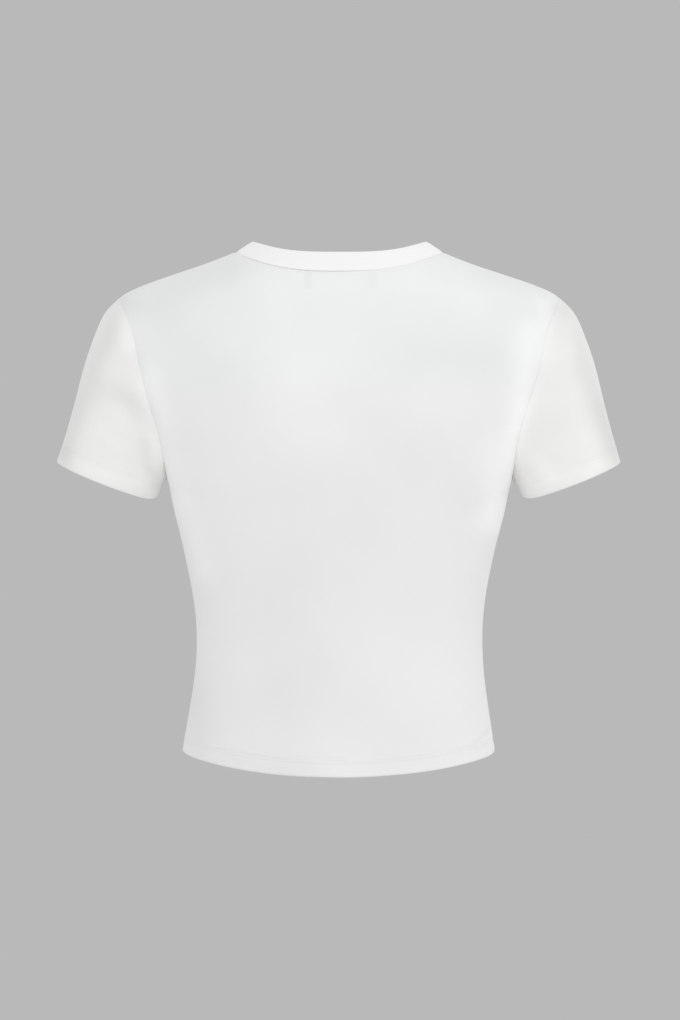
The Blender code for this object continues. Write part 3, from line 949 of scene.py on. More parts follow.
@dataclass
class Sleeve:
    """A short set-in sleeve with one underarm seam and a turned-up cuff."""

    hand: Hand
    length: float = 157.0
    lean: float = math.radians(21.3)
    rings_to_fold: int = 58
    crowd: float = 1.25
    turn_over: float = 9.0
    taut_reach: float = 78.0
    cuff_rise: float = 2.0
    cuff_rise_turn: float = 0.36
    needle_rows: tuple[float, float] = (13.6, 16.2)
    looper_row: float = 15.0
    drape: Drape = field(default_factory=Drape)
    fold_rises: tuple[float, ...] = (
        17.0, 16.7, 16.2, 15.7, 15.0, 14.2, 13.6, 13.0, 12.0, 10.0, 8.0, 6.0, 4.0, 2.4,
        1.4, 0.85, 0.45, 0.15, 0.0,
    )
    columns: tuple[str, ...] = (
        "along", "top_x", "top_z", "bottom_x", "bottom_z", "middle_y", "back", "front", "drop",
    )
    rings: Table = (
        (0.0, 189.8, -38.3, 151.0, -195.7, 0.0, 52.0, 52.0, 0.0),
        (8.0, 195.8, -43.3, 151.2, -196.3, -0.2, 53.3, 53.5, 0.2),
        (17.5, 202.7, -50.3, 151.6, -196.9, -0.4, 54.4, 54.6, 0.4),
        (37.0, 212.0, -67.8, 152.2, -198.0, -0.9, 55.8, 56.0, 0.8),
        (65.0, 221.8, -94.1, 152.9, -199.0, -1.6, 55.5, 55.8, 1.4),
        (101.0, 231.0, -129.1, 153.6, -200.0, -2.6, 52.2, 52.4, 2.2),
        (140.0, 241.4, -166.5, 154.7, -200.7, -3.7, 47.8, 47.8, 3.0),
        (157.0, 246.5, -182.6, 161.3, -216.3, -4.2, 46.3, 46.3, 3.4),
    )
    net: Net = field(init=False)

    def down(self) -> Points:
        """The way down the left sleeve, from armhole to cuff."""
        return np.array([math.sin(self.lean), 0.0, -math.cos(self.lean)])

    def ring(self, along: float, turns: Points) -> Points:
        """A ring of the left sleeve: turns run from its top round the back.

        Args:
            along: The distance along the top line.
            turns: Angles round the ring.

        Returns:
            A point for each angle.
        """
        at = {name: curve(along) for name, curve in curves(self.columns, self.rings).items()}
        top = np.array([at["top_x"], at["middle_y"], at["top_z"]])
        bottom = np.array([at["bottom_x"], at["middle_y"], at["bottom_z"]])
        up, deep = np.cos(turns)[:, None], np.sin(turns)[:, None]
        depth = np.where(deep > 0, at["back"], at["front"])
        backwards = depth * BACKWARDS + at["drop"] * self.down()
        return (top + bottom) / 2 + up * (top - bottom) / 2 + deep * backwards

    def drawn_taut(self, net: Points, underarm: int) -> Points:
        """The net with its lines straight from armhole to cuff near the underarm.

        The sleeve is very short there, and its cloth would fold over itself otherwise.

        Args:
            net: Points, [ring][place round].
            underarm: The place of the underarm seam.

        Returns:
            The changed net.
        """
        start, end = net[0], net[-1]
        down = column_lengths(net)
        share = (down / down[-1])[..., None]
        near = bell(np.linalg.norm(start - start[underarm], axis=-1), self.taut_reach)[:, None]
        straight = start + share * (end - start)
        return net + near * (straight - net)

    def shortened(self, net: Points, turns: Points, underarm: int) -> Points:
        """The net with its cuff a little higher at the underarm, so that its corner is round.

        Args:
            net: Points, [ring][place round].
            turns: The angle of each place round.
            underarm: The place of the underarm seam.

        Returns:
            The changed net.
        """
        seam = arc_lengths(net[:, underarm])
        gone = np.minimum(seam / seam[self.rings_to_fold], 1.0)
        shorter = self.cuff_rise * gone[:, None] * bell(turns - math.pi, self.cuff_rise_turn)
        return net - shorter[..., None] * self.down()

    def surface(self, back: Panel, front: Panel, along: Points) -> tuple[Points, ...]:
        """The bare sleeve, from the armhole's true edge to the cuff.

        Args:
            back: The finished back.
            front: The finished front.
            along: Each ring's distance along the top line.

        Returns:
            Points, [ring][place round], the way out at each, and the way in which folds
            raise it, which is the body's own way out beside the armhole.
        """
        underarm = back.armhole_rows
        behind, ahead = back.armhole_edge(Hand.LEFT), front.armhole_edge(Hand.LEFT)
        start, body_out = (np.concatenate([b, a[-2:0:-1]]) for b, a in zip(behind, ahead))
        start[(0, underarm), 1] = 0.0
        turns = np.linspace(0.0, 2 * math.pi, len(start), endpoint=False)
        missed = start - self.ring(0.0, turns)
        fade = np.maximum(1 - along / (self.length - CLOTH.cuff_fold), 0.0) ** 2
        rings = [self.ring(reach, turns) + left * missed for reach, left in zip(along, fade)]
        bare = np.array(rings)
        bare = self.shortened(self.drawn_taut(bare, underarm), turns, underarm)
        near = bell(np.linalg.norm(bare - bare[0], axis=-1), self.turn_over)[..., None]
        bare = bare + near * (CLOTH.seam_gap * (unit(bare[1] - bare[0]) + body_out))
        across = np.concatenate([bare[1:], bare[-1:]]) - np.concatenate([bare[:1], bare[:-1]])
        around = np.roll(bare, -1, axis=1) - np.roll(bare, 1, axis=1)
        out = unit(np.cross(across, around))
        mirror = np.array([self.hand.value, 1.0, 1.0])
        return bare * mirror, out * mirror, unit(near * body_out + (1 - near) * out) * mirror

    def build(self, back: Panel, front: Panel) -> "Sleeve":
        """Draws both faces.

        Args:
            back: The finished back.
            front: The finished front.

        Returns:
            The sleeve itself.
        """
        to_fold = self.length - CLOTH.cuff_fold - CLOTH.fold_step
        shares = np.linspace(0.0, 1.0, self.rings_to_fold + 1) ** self.crowd
        along = np.concatenate([shares * to_fold, self.length - np.array(self.fold_rises)])
        bare, out, raised = self.surface(back, front, along)
        looped = np.concatenate([bare, bare[:, :1]], axis=1)
        around, down = row_lengths(looped), column_lengths(looped)
        from_armhole = down[:, :-1]
        from_seam = np.abs(around[:, :-1] - around[:, back.armhole_rows, None])
        rises = self.length - along
        rise = np.broadcast_to(rises[:, None], from_seam.shape)
        lift = self.drape.lift(bare, rise) - CLOTH.pressed(from_seam) - CLOTH.pressed(from_armhole)
        lift = CLOTH.stitched(lift, rise, self.needle_rows)
        wall, round_over = CLOTH.walls(rise, CLOTH.cuff_fold)
        form = bare + lift[..., None] * raised + self.drape.fill(bare, from_armhole)
        self.net = Net(
            form - round_over[..., None] * out,
            form - (wall - round_over)[..., None] * out,
            np.stack([around, -down], axis=-1),
            ring=True,
            # The painted light and shade patches on the sleeve's colour
            tone=self.drape.tone(bare),
            rises=rises,
        )
        return self


@dataclass
class Neckband:
    """A strip folded double, standing on the neckline and leaning inwards."""

    height: float = 17.0
    lean_back: float = math.radians(12.0)
    lean_side: float = math.radians(63.0)
    lean_front: float = math.radians(33.0)
    lean_spread: float = 0.75
    section: tuple[tuple[float, float], ...] = (
        (0.0, -0.35), (0.1, 0.12), (0.35, 0.35), (0.75, 0.3), (0.95, -0.2), (1.0, -1.2),
        (0.95, -2.2), (0.6, -2.5), (0.1, -2.4), (0.0, -2.1),
    )
    steps: int = 4
    roundness: float = 0.4
    closing_step: float = 1.0
    rings: Points = field(init=False)
    uv: Points = field(init=False)

    def smooth_section(self) -> Points:
        """The section as a closed smooth line of height share and bulge."""
        base = np.array(self.section)
        before, after = np.roll(base, 1, axis=0), np.roll(base, -1, axis=0)
        tangent = self.roundness * (after - before)
        t = (np.arange(self.steps) / self.steps)[:, None, None]
        parts = (
            (2 * t**3 - 3 * t**2 + 1) * base
            + (t**3 - 2 * t**2 + t) * tangent
            + (3 * t**2 - 2 * t**3) * after
            + (t**3 - t**2) * np.roll(tangent, -1, axis=0)
        )
        return parts.transpose(1, 0, 2).reshape(-1, 2)

    def build(self, back: Panel, front: Panel) -> "Neckband":
        """Draws the band's rings round the neckline.

        Args:
            back: The finished back.
            front: The finished front.

        Returns:
            The neckband itself.
        """
        halves = (back.bare[-1][:-1] + back.apart(), front.bare[-1][::-1][:-1] + front.apart())
        seam = np.concatenate(halves)
        seam[(0, back.columns), 1] = 0.0
        tangent = unit(np.roll(seam, -1, axis=0) - np.roll(seam, 1, axis=0))
        inwards = unit(np.stack([tangent[:, 1], -tangent[:, 0], 0 * tangent[:, 0]], axis=-1))
        inwards *= np.where(np.sum(inwards * seam, axis=1) > 0, -1.0, 1.0)[:, None]
        facing = seam[:, 1] / np.hypot(seam[:, 0], seam[:, 1])
        middle = np.where(facing > 0, self.lean_back, self.lean_front)
        lean = self.lean_side + (middle - self.lean_side) * np.abs(facing) ** self.lean_spread
        rise = np.cos(lean)[:, None] * UPRIGHT + np.sin(lean)[:, None] * inwards
        rise = unit(rise - np.sum(rise * tangent, axis=1)[:, None] * tangent)
        out = unit(np.cross(tangent, rise))
        out *= np.where(np.sum(out * inwards, axis=1) > 0, -1.0, 1.0)[:, None]
        share, bulge = self.smooth_section().T
        height = CLOTH.seam_gap + share * (self.height - CLOTH.seam_gap)
        self.rings = (
            seam[:, None]
            + height[None, :, None] * rise[:, None]
            + bulge[None, :, None] * out[:, None]
        )
        reach = arc_lengths(np.concatenate([seam, seam[:1]]))
        across = arc_lengths(np.stack([height, bulge], axis=-1))
        across = np.append(across, across[-1] + self.closing_step)
        u, v = np.meshgrid(reach, across, indexing="ij")
        self.uv = np.stack([v, u], axis=-1)
        return self

    def make(self, name: str, material: Material) -> Object:
        """The band as a closed loop of closed sections."""
        turns, size = self.rings.shape[:2]

        def quads(index: Points) -> Points:
            """Faces between neighbouring rings."""
            corners = (index[:-1, :-1], index[1:, :-1], index[1:, 1:], index[:-1, 1:])
            return np.stack(corners, axis=-1).reshape(-1, 4)

        index = np.arange(turns * size).reshape(turns, size)
        closed = np.pad(index, ((0, 1), (0, 1)), mode="wrap")
        mapped = np.arange((turns + 1) * (size + 1)).reshape(turns + 1, size + 1)
        mesh = bpy.data.meshes.new(name)
        mesh.from_pydata((self.rings.reshape(-1, 3) * MM).tolist(), [], quads(closed).tolist())
        return smooth_piece(mesh, self.uv.reshape(-1, 2)[quads(mapped).reshape(-1)], material)


@dataclass
class NeckLabel:
    """A blank woven tab inside the back neck, its ends folded under."""

    middle_x: float = -0.9
    width: float = 61.0
    top: float = -22.8
    height: float = 21.5
    wall: float = 0.55
    end_fold: float = 6.7
    end_wall: float = 1.1
    end_step: float = 0.3
    before_fold: float = 0.6
    past_fold: float = 0.5
    over_seam: float = 1.5
    over_seam_top: float = 1.4
    seam_depth: float = 7.0
    hang_free: float = 1.6
    columns: int = 48
    rows: int = 22

    def places(self) -> Points:
        """Where its columns lie, from its middle, with more at the folded ends."""
        half = self.width / 2
        fold = half - self.end_fold
        plain = fold - self.past_fold
        end = np.array([-half, -half + self.end_step, -fold - self.before_fold, -fold, -plain])
        return np.concatenate([end, np.linspace(-plain, plain, self.columns)[1:-1], -end[::-1]])

    def build(self, form: BodyForm, drape: Drape) -> Net:
        """Draws the tab, which passes over the neck seam and then lies on the back.

        Args:
            form: The body's form.
            drape: The back's folds, which the tab follows.

        Returns:
            Its two faces.
        """
        across = self.places()
        folded = np.abs(across) >= self.width / 2 - self.end_fold
        wall = np.where(folded, self.end_wall, self.wall)
        fall = np.linspace(self.height, 0.0, self.rows)
        x, z = np.meshgrid(self.middle_x + across, self.top - fall)
        cloth = np.stack([x, form.y(x, z, Side.BACK), z], axis=-1)
        out = form.normals(cloth, Side.BACK)
        below_seam = smooth_step(self.over_seam_top - fall / self.seam_depth)
        seam = self.over_seam * below_seam[:, None]
        free = self.hang_free * (fall / self.height)[:, None] ** 2
        depth = CLOTH.wall + CLOTH.seam_gap + seam + free - drape.lift(cloth)
        outer = cloth - depth[..., None] * out + CLOTH.seam_gap / 2 * BACKWARDS
        inner = outer - wall[None, :, None] * out
        return Net(outer, inner, np.stack([x - self.middle_x, z], axis=-1))


@dataclass(frozen=True)
class InsideSeams:
    """The allowances inside the seams, two layers overlocked together.

    The stations are the distances from the seam at which a strip has its points. The
    cloth's length is measured at one of them, and the stitches lie on another.
    """

    stations: tuple[float, ...] = (-0.5, 0.0, 1.2, 2.6, 4.0, 5.2, CLOTH.allowance)
    measured: int = 2
    stitched: int = 4

    def strip(self, points: Points, out: Points, ring: bool) -> Net:
        """A closed strip that lies on the cloth's inner face.

        Args:
            points: Points on the inner face, [place][station].
            out: The way out at each.
            ring: Whether the strip closes round.

        Returns:
            Its two faces.
        """
        lift, wall = CLOTH.allowance_lift, CLOTH.allowance_wall
        outer, inner = points - lift * out, points - (lift + wall) * out
        line = np.concatenate([points, points[:1]]) if ring else points
        reach = arc_lengths(line[:, self.measured])
        uv = np.stack(np.meshgrid(reach, np.array(self.stations)), axis=-1)
        return Net(outer.transpose(1, 0, 2), inner.transpose(1, 0, 2), uv, ring)

    def loops(self, points: Points, out: Points) -> tuple[Points, Points]:
        """The middle line of the overlock stitches on a strip."""
        way = out[:, self.stitched]
        depth = CLOTH.allowance_lift + CLOTH.allowance_wall
        return points[:, self.stitched] - depth * way, -way


class Tree:
    """A small helper that adds and joins the nodes of a tree."""

    def __init__(self, tree: NodeTree) -> None:
        """Keeps the tree that is being built."""
        self.tree = tree

    @classmethod
    def of_material(cls, name: str) -> tuple[Material, "Tree", Node]:
        """A new material, its tree and its shader."""
        material = bpy.data.materials.new(name)
        material.use_nodes = True
        return material, cls(material.node_tree), material.node_tree.nodes["Principled BSDF"]

    def feed(self, node: Node, inputs: dict) -> None:
        """Sets a node's inputs, by name or number, to values, sockets or other nodes."""
        for key, value in inputs.items():
            if isinstance(value, Node):
                value = value.outputs[0]
            if isinstance(value, NodeSocket):
                self.tree.links.new(value, node.inputs[key])
            else:
                node.inputs[key].default_value = value

    def add(self, kind: str, inputs: dict | None = None, **settings: object) -> Node:
        """Adds a node.

        Args:
            kind: Its type name.
            inputs: Values, sockets or nodes for its inputs, by name or number.
            settings: Its own properties.

        Returns:
            The node.
        """
        node = self.tree.nodes.new(kind)
        for name, value in settings.items():
            setattr(node, name, value)
        self.feed(node, inputs or {})
        return node

    def math(self, operation: str, *values: object) -> Node:
        """A Math node on these values, sockets or nodes."""
        return self.add("ShaderNodeMath", dict(enumerate(values)), operation=operation)

    def vector_math(self, operation: str, inputs: dict) -> Node:
        """A Vector Math node with these inputs."""
        return self.add("ShaderNodeVectorMath", inputs, operation=operation)

    def place(self) -> NodeSocket:
        """The place in the piece's own frame, in metres."""
        return self.add("ShaderNodeTexCoord").outputs["Object"]

    def split(self, vector: object) -> Sequence[NodeSocket]:
        """The X, Y and Z of a vector."""
        return self.add("ShaderNodeSeparateXYZ", {0: vector}).outputs

    def noise(self, scale: float, detail: float) -> Node:
        """Soft noise over the piece."""
        inputs = {"Vector": self.place(), "Scale": scale, "Detail": detail}
        return self.add("ShaderNodeTexNoise", inputs)

    def step(self, value: object, low: float, high: float) -> Node:
        """A soft step from 0 to 1 between two places, in millimetres."""
        inputs = {"Value": value, "From Min": low * MM, "From Max": high * MM}
        return self.add("ShaderNodeMapRange", inputs, interpolation_type="SMOOTHSTEP")

    def bump(self, height: object, strength: float, depth: float) -> Node:
        """Bumps of this height, whose full depth is in millimetres."""
        inputs = {"Height": height, "Strength": strength, "Distance": depth * MM}
        return self.add("ShaderNodeBump", inputs)


@dataclass(frozen=True)
class StitchSizes:
    """The sizes of one kind of stitch, in millimetres and degrees."""

    length: float
    spacing: float
    thread: float
    arch: float
    turn: float = 0.0
    slant: float = 0.0
    loose: float = 3.0
    seed: int = 7

    def values(self) -> dict[str, float]:
        """The inputs of the stitch tree by name, in metres and radians."""
        return {
            "Length": self.length * MM,
            "Spacing": self.spacing * MM,
            "Thread": self.thread * MM,
            "Arch": self.arch * MM,
            "Turn": math.radians(self.turn),
            "Slant": math.radians(self.slant),
            "Loose": math.radians(self.loose),
            "Seed": self.seed,
        }


class StitchTree:
    """The Geometry Nodes tree that lays stitches along a line on the cloth."""

    INPUTS = {
        "Geometry": "Geometry", "Length": "Float", "Spacing": "Float", "Thread": "Float",
        "Arch": "Float", "Turn": "Float", "Slant": "Float", "Loose": "Float",
        "Seed": "Int", "Material": "Material",
    }
    STITCH_STEPS = 4
    THREAD_SIDES = 5
    ABOVE_CLOTH = 0.6

    def __init__(self) -> None:
        """Builds the tree."""
        self.tree = bpy.data.node_groups.new("stitches", "GeometryNodeTree")
        face = self.tree.interface
        for name, kind in self.INPUTS.items():
            face.new_socket(name, in_out="INPUT", socket_type=f"NodeSocket{kind}")
        face.new_socket("Geometry", in_out="OUTPUT", socket_type="NodeSocketGeometry")
        t = Tree(self.tree)
        given = t.add("NodeGroupInput").outputs
        line = t.add("GeometryNodeMeshToCurve", {"Mesh": given["Geometry"]})
        spaced = {"Curve": line, "Length": given["Spacing"]}
        points = t.add("GeometryNodeResampleCurve", spaced, mode="LENGTH")
        stitch, way = self.stitch(t, given), self.way(t, given)
        placed = {"Points": points, "Instance": stitch, "Rotation": way}
        laid = t.add("GeometryNodeInstanceOnPoints", placed)
        real = t.add("GeometryNodeRealizeInstances", {"Geometry": laid})
        smooth = t.add("GeometryNodeSetShadeSmooth", {"Geometry": real})
        dress = {"Geometry": smooth, "Material": given["Material"]}
        t.add("NodeGroupOutput", {0: t.add("GeometryNodeSetMaterial", dress)})

    def stitch(self, t: Tree, given: Sequence[NodeSocket]) -> Node:
        """One stitch, a short arch of thread along X."""
        half = t.math("MULTIPLY", given["Length"], 0.5)
        arch = {
            "Resolution": self.STITCH_STEPS,
            "Start": t.add("ShaderNodeCombineXYZ", {"X": t.math("MULTIPLY", half, -1.0)}),
            "Middle": t.add("ShaderNodeCombineXYZ", {"Z": given["Arch"]}),
            "End": t.add("ShaderNodeCombineXYZ", {"X": half}),
        }
        round_thread = {"Resolution": self.THREAD_SIDES, "Radius": given["Thread"]}
        swept = {
            "Curve": t.add("GeometryNodeCurveQuadraticBezier", arch),
            "Profile Curve": t.add("GeometryNodeCurvePrimitiveCircle", round_thread),
            "Fill Caps": True,
        }
        return t.add("GeometryNodeCurveToMesh", swept)

    def way(self, t: Tree, given: Sequence[NodeSocket]) -> Node:
        """How each stitch is turned: flat on the cloth, slanting to and fro, a little loose."""
        along = {"Vector": t.add("GeometryNodeInputTangent")}
        forward = t.add("FunctionNodeAlignRotationToVector", along, axis="X")
        out = t.add("GeometryNodeInputNamedAttribute", {"Name": "out"}, data_type="FLOAT_VECTOR")
        lying = {"Rotation": forward, "Vector": out}
        upright = t.add("FunctionNodeAlignRotationToVector", lying, axis="Z", pivot_axis="X")
        parity = t.math("MODULO", t.add("GeometryNodeInputIndex"), 2.0)
        swing = t.math("SUBTRACT", t.math("MULTIPLY", parity, 2.0), 1.0)
        reach = {2: t.math("MULTIPLY", given["Loose"], -1.0), 3: given["Loose"]}
        chance = t.add("FunctionNodeRandomValue", {**reach, "Seed": given["Seed"]}).outputs[1]
        turned = t.math("ADD", given["Turn"], t.math("MULTIPLY", swing, given["Slant"]))
        spin = t.add("ShaderNodeCombineXYZ", {"Z": t.math("ADD", turned, chance)})
        turn = {"Rotation": upright, "Rotate By": t.add("FunctionNodeEulerToRotation", {0: spin})}
        return t.add("FunctionNodeRotateRotation", turn, rotation_space="LOCAL")

    def sew(
        self,
        name: str,
        lines: Sequence[Seam],
        sizes: StitchSizes,
        material: Material,
    ) -> Object:
        """Lays stitches along lines.

        Args:
            name: The piece's name.
            lines: Points, the way out at each, and whether the line closes.
            sizes: The stitch's sizes.
            material: The thread's finish.

        Returns:
            The stitches as a plain mesh.
        """
        points, ways, edges, first = [], [], [], 0
        for line, out, closed in lines:
            count = len(line)
            points.append(line + self.ABOVE_CLOTH * sizes.thread * out)
            ways.append(out)
            edges += [(first + i, first + i + 1) for i in range(count - 1)]
            edges += [(first + count - 1, first)] if closed else []
            first += count
        mesh = bpy.data.meshes.new(name)
        mesh.from_pydata((np.concatenate(points) * MM).tolist(), edges, [])
        attribute = mesh.attributes.new("out", "FLOAT_VECTOR", "POINT")
        attribute.data.foreach_set("vector", np.concatenate(ways).astype(np.float32).reshape(-1))
        piece = link_object(name, mesh)
        modifier = piece.modifiers.new("stitches", "NODES")
        modifier.node_group = self.tree
        values = {**sizes.values(), "Material": material}
        for item in self.tree.interface.items_tree:
            if item.in_out == "INPUT" and item.name in values:
                modifier[item.identifier] = values[item.name]
        graph = bpy.context.evaluated_depsgraph_get()
        plain = bpy.data.meshes.new_from_object(piece.evaluated_get(graph))
        piece.modifiers.clear()
        piece.data = plain
        return piece


@dataclass(frozen=True)
class Finish:
    """A finish of one tone, which a pattern makes lighter and darker."""

    name: str
    tone: Colour
    roughness: float
    sheen: float
    sheen_roughness: float = 0.5
    specular: float = 0.5

    def pattern(self, t: Tree) -> Pattern:
        """How light each place is, and its bumps as an input of the shader, if it has any."""
        raise NotImplementedError

    def colour(self, t: Tree) -> Colour | Node:
        """The colour before the pattern."""
        return self.tone

    def material(self) -> Material:
        """Builds the material."""
        material, t, shader = Tree.of_material(self.name)
        shade, bumps = self.pattern(t)
        dress = {
            "Base Color": t.vector_math("SCALE", {0: self.colour(t), "Scale": shade}),
            "Roughness": self.roughness,
            "Sheen Weight": self.sheen,
            "Sheen Roughness": self.sheen_roughness,
            "Specular IOR Level": self.specular,
        }
        t.feed(shader, {**dress, **bumps})
        return material


@dataclass(frozen=True)
class LabelShadow:
    """Where the label's folded ends darken the back a little, in millimetres.

    Each end is given as its two sides, how softly it fades and how strong it is.
    """

    dark: float = 0.045
    ends: Table = ((23.6, 29.6, 1.4, 1.0), (-31.4, -24.8, 2.0, 0.5))
    bottom: tuple[float, float] = (-39.5, -36.5)
    top: tuple[float, float] = (-19.0, -15.0)
    behind: tuple[float, float] = (10.0, 20.0)

    def strength(self, t: Tree) -> Node:
        """How much each place is darkened."""
        x, y, z = t.split(t.place())
        total = 0.0
        for low, high, soft, share in self.ends:
            left = t.step(x, low - soft, low + soft)
            right = t.math("SUBTRACT", 1.0, t.step(x, high - soft, high + soft))
            end = t.math("MULTIPLY", left, right)
            total = t.math("MULTIPLY_ADD", end, share * self.dark, total)
        below_top = t.math("SUBTRACT", 1.0, t.step(z, *self.top))
        tall = t.math("MULTIPLY", t.step(z, *self.bottom), below_top)
        return t.math("MULTIPLY", t.math("MULTIPLY", total, tall), t.step(y, *self.behind))


@dataclass(frozen=True)
class JerseyFinish(Finish):
    """Fine plain-knit cotton: columns of small Vs, a soft surface and a matt face.

    The upper tone, where there is one, comes in between two heights.
    """

    roughness: float = 0.92
    sheen: float = 0.12
    sheen_roughness: float = 0.6
    specular: float = 0.25
    wale: float = 0.9
    course: float = 0.66
    leg_rise: float = 1.3
    loop_swing: float = 0.3
    knit_depth: float = 0.05
    knit_strength: float = 0.55
    # How much painted shade lies in the knit's valleys
    knit_painted_shade: float = 0.035
    cloud_scale: float = 22.0
    cloud_shade: float = 0.018
    slub_scale: float = 420.0
    slub_shade: float = 0.006
    slub_depth: float = 0.12
    slub_strength: float = 0.25
    shadow: LabelShadow | None = None
    upper_tone: Colour | None = None
    upper_from: float = -185.0
    upper_to: float = -95.0

    def knit(self, t: Tree) -> Node:
        """The height of the knit, from the cloth's own map in metres."""
        u, v, _ = t.split(t.add("ShaderNodeUVMap", uv_map=CLOTH_UV))
        across = t.math("FRACT", t.math("DIVIDE", u, self.wale * MM))
        leg = t.math("ABSOLUTE", t.math("SUBTRACT", across, 0.5))
        up = t.math("DIVIDE", v, self.course * MM)
        phase = t.math("MULTIPLY", t.math("MULTIPLY_ADD", leg, self.leg_rise, up), 2 * math.pi)
        loop = t.math("MULTIPLY_ADD", t.math("SINE", phase), self.loop_swing, 1 - self.loop_swing)
        rounded = t.math("SINE", t.math("MULTIPLY", leg, 2 * math.pi))
        return t.math("MULTIPLY", loop, t.math("ABSOLUTE", rounded))

    def colour(self, t: Tree) -> Colour | Node:
        """The tone, or its change to the upper tone."""
        if self.upper_tone is None:
            return self.tone
        high = t.step(t.split(t.place())[2], self.upper_from, self.upper_to)
        change = tuple(np.subtract(self.upper_tone, self.tone))
        return t.vector_math("MULTIPLY_ADD", {0: high, 1: change, 2: self.tone})

    def pattern(self, t: Tree) -> Pattern:
        """The knit with painted shade in its valleys, soft clouds, small slubs, the painted light
        and shade patches and, where there is one, the label's shadow.
        """
        height = self.knit(t)
        clouds, slubs = t.noise(self.cloud_scale, 3.0), t.noise(self.slub_scale, 2.0)
        # Starts from the painted light and shade patches on the cloth
        shade = t.add("ShaderNodeAttribute", attribute_name=PAINTED_LIGHT_ATTRIBUTE).outputs["Fac"]
        # Painted shade in the knit's valleys: the colour is darker where the knit's height is low
        shade = t.math("ADD", shade, 1.0 - self.knit_painted_shade / 2)
        shade = t.math("MULTIPLY_ADD", height, self.knit_painted_shade, shade)
        for noise, share in ((clouds, self.cloud_shade), (slubs, self.slub_shade)):
            shade = t.math("MULTIPLY_ADD", t.math("SUBTRACT", noise, 0.5), 2 * share, shade)
        if self.shadow:
            shade = t.math("SUBTRACT", shade, self.shadow.strength(t))
        knit = t.bump(height, self.knit_strength, self.knit_depth)
        t.feed(knit, {"Normal": t.bump(slubs, self.slub_strength, self.slub_depth)})
        return shade, {"Normal": knit}


@dataclass(frozen=True)
class TapeFinish(Finish):
    """A blank woven label with a fine close weave and a soft gloss."""

    name: str = "label_tape"
    tone: Colour = (0.8, 0.8, 0.79)
    roughness: float = 0.55
    sheen: float = 0.2
    thread: float = 0.28
    base_shade: float = 0.98
    weave_painted_shade: float = 0.03
    weave_depth: float = 0.04
    weave_strength: float = 0.4

    def pattern(self, t: Tree) -> Pattern:
        """The weave, from the label's own map in metres, with painted shade in its dips."""
        turns = 2 * math.pi / (self.thread * MM)
        across, along = t.split(t.add("ShaderNodeUVMap", uv_map=CLOTH_UV))[:2]
        warp, weft = (t.math("SINE", t.math("MULTIPLY", way, turns)) for way in (across, along))
        weave = t.math("MULTIPLY", warp, weft)
        # Painted shade in the weave's dips, lighter on its raised threads
        shade = t.math("MULTIPLY_ADD", weave, self.weave_painted_shade, self.base_shade)
        return shade, {"Normal": t.bump(weave, self.weave_strength, self.weave_depth)}


@dataclass(frozen=True)
class ThreadFinish(Finish):
    """White sewing thread, twisted and slightly glossy."""

    name: str = "sewing_thread"
    tone: Colour = (0.88, 0.88, 0.875)
    roughness: float = 0.6
    sheen: float = 0.25
    ply_scale: float = 2600.0
    base_shade: float = 0.94
    ply_shade: float = 0.08

    def pattern(self, t: Tree) -> Pattern:
        """Its plies, as fine noise."""
        plies = t.noise(self.ply_scale, 1.0)
        return t.math("MULTIPLY_ADD", plies, self.ply_shade, self.base_shade), {}


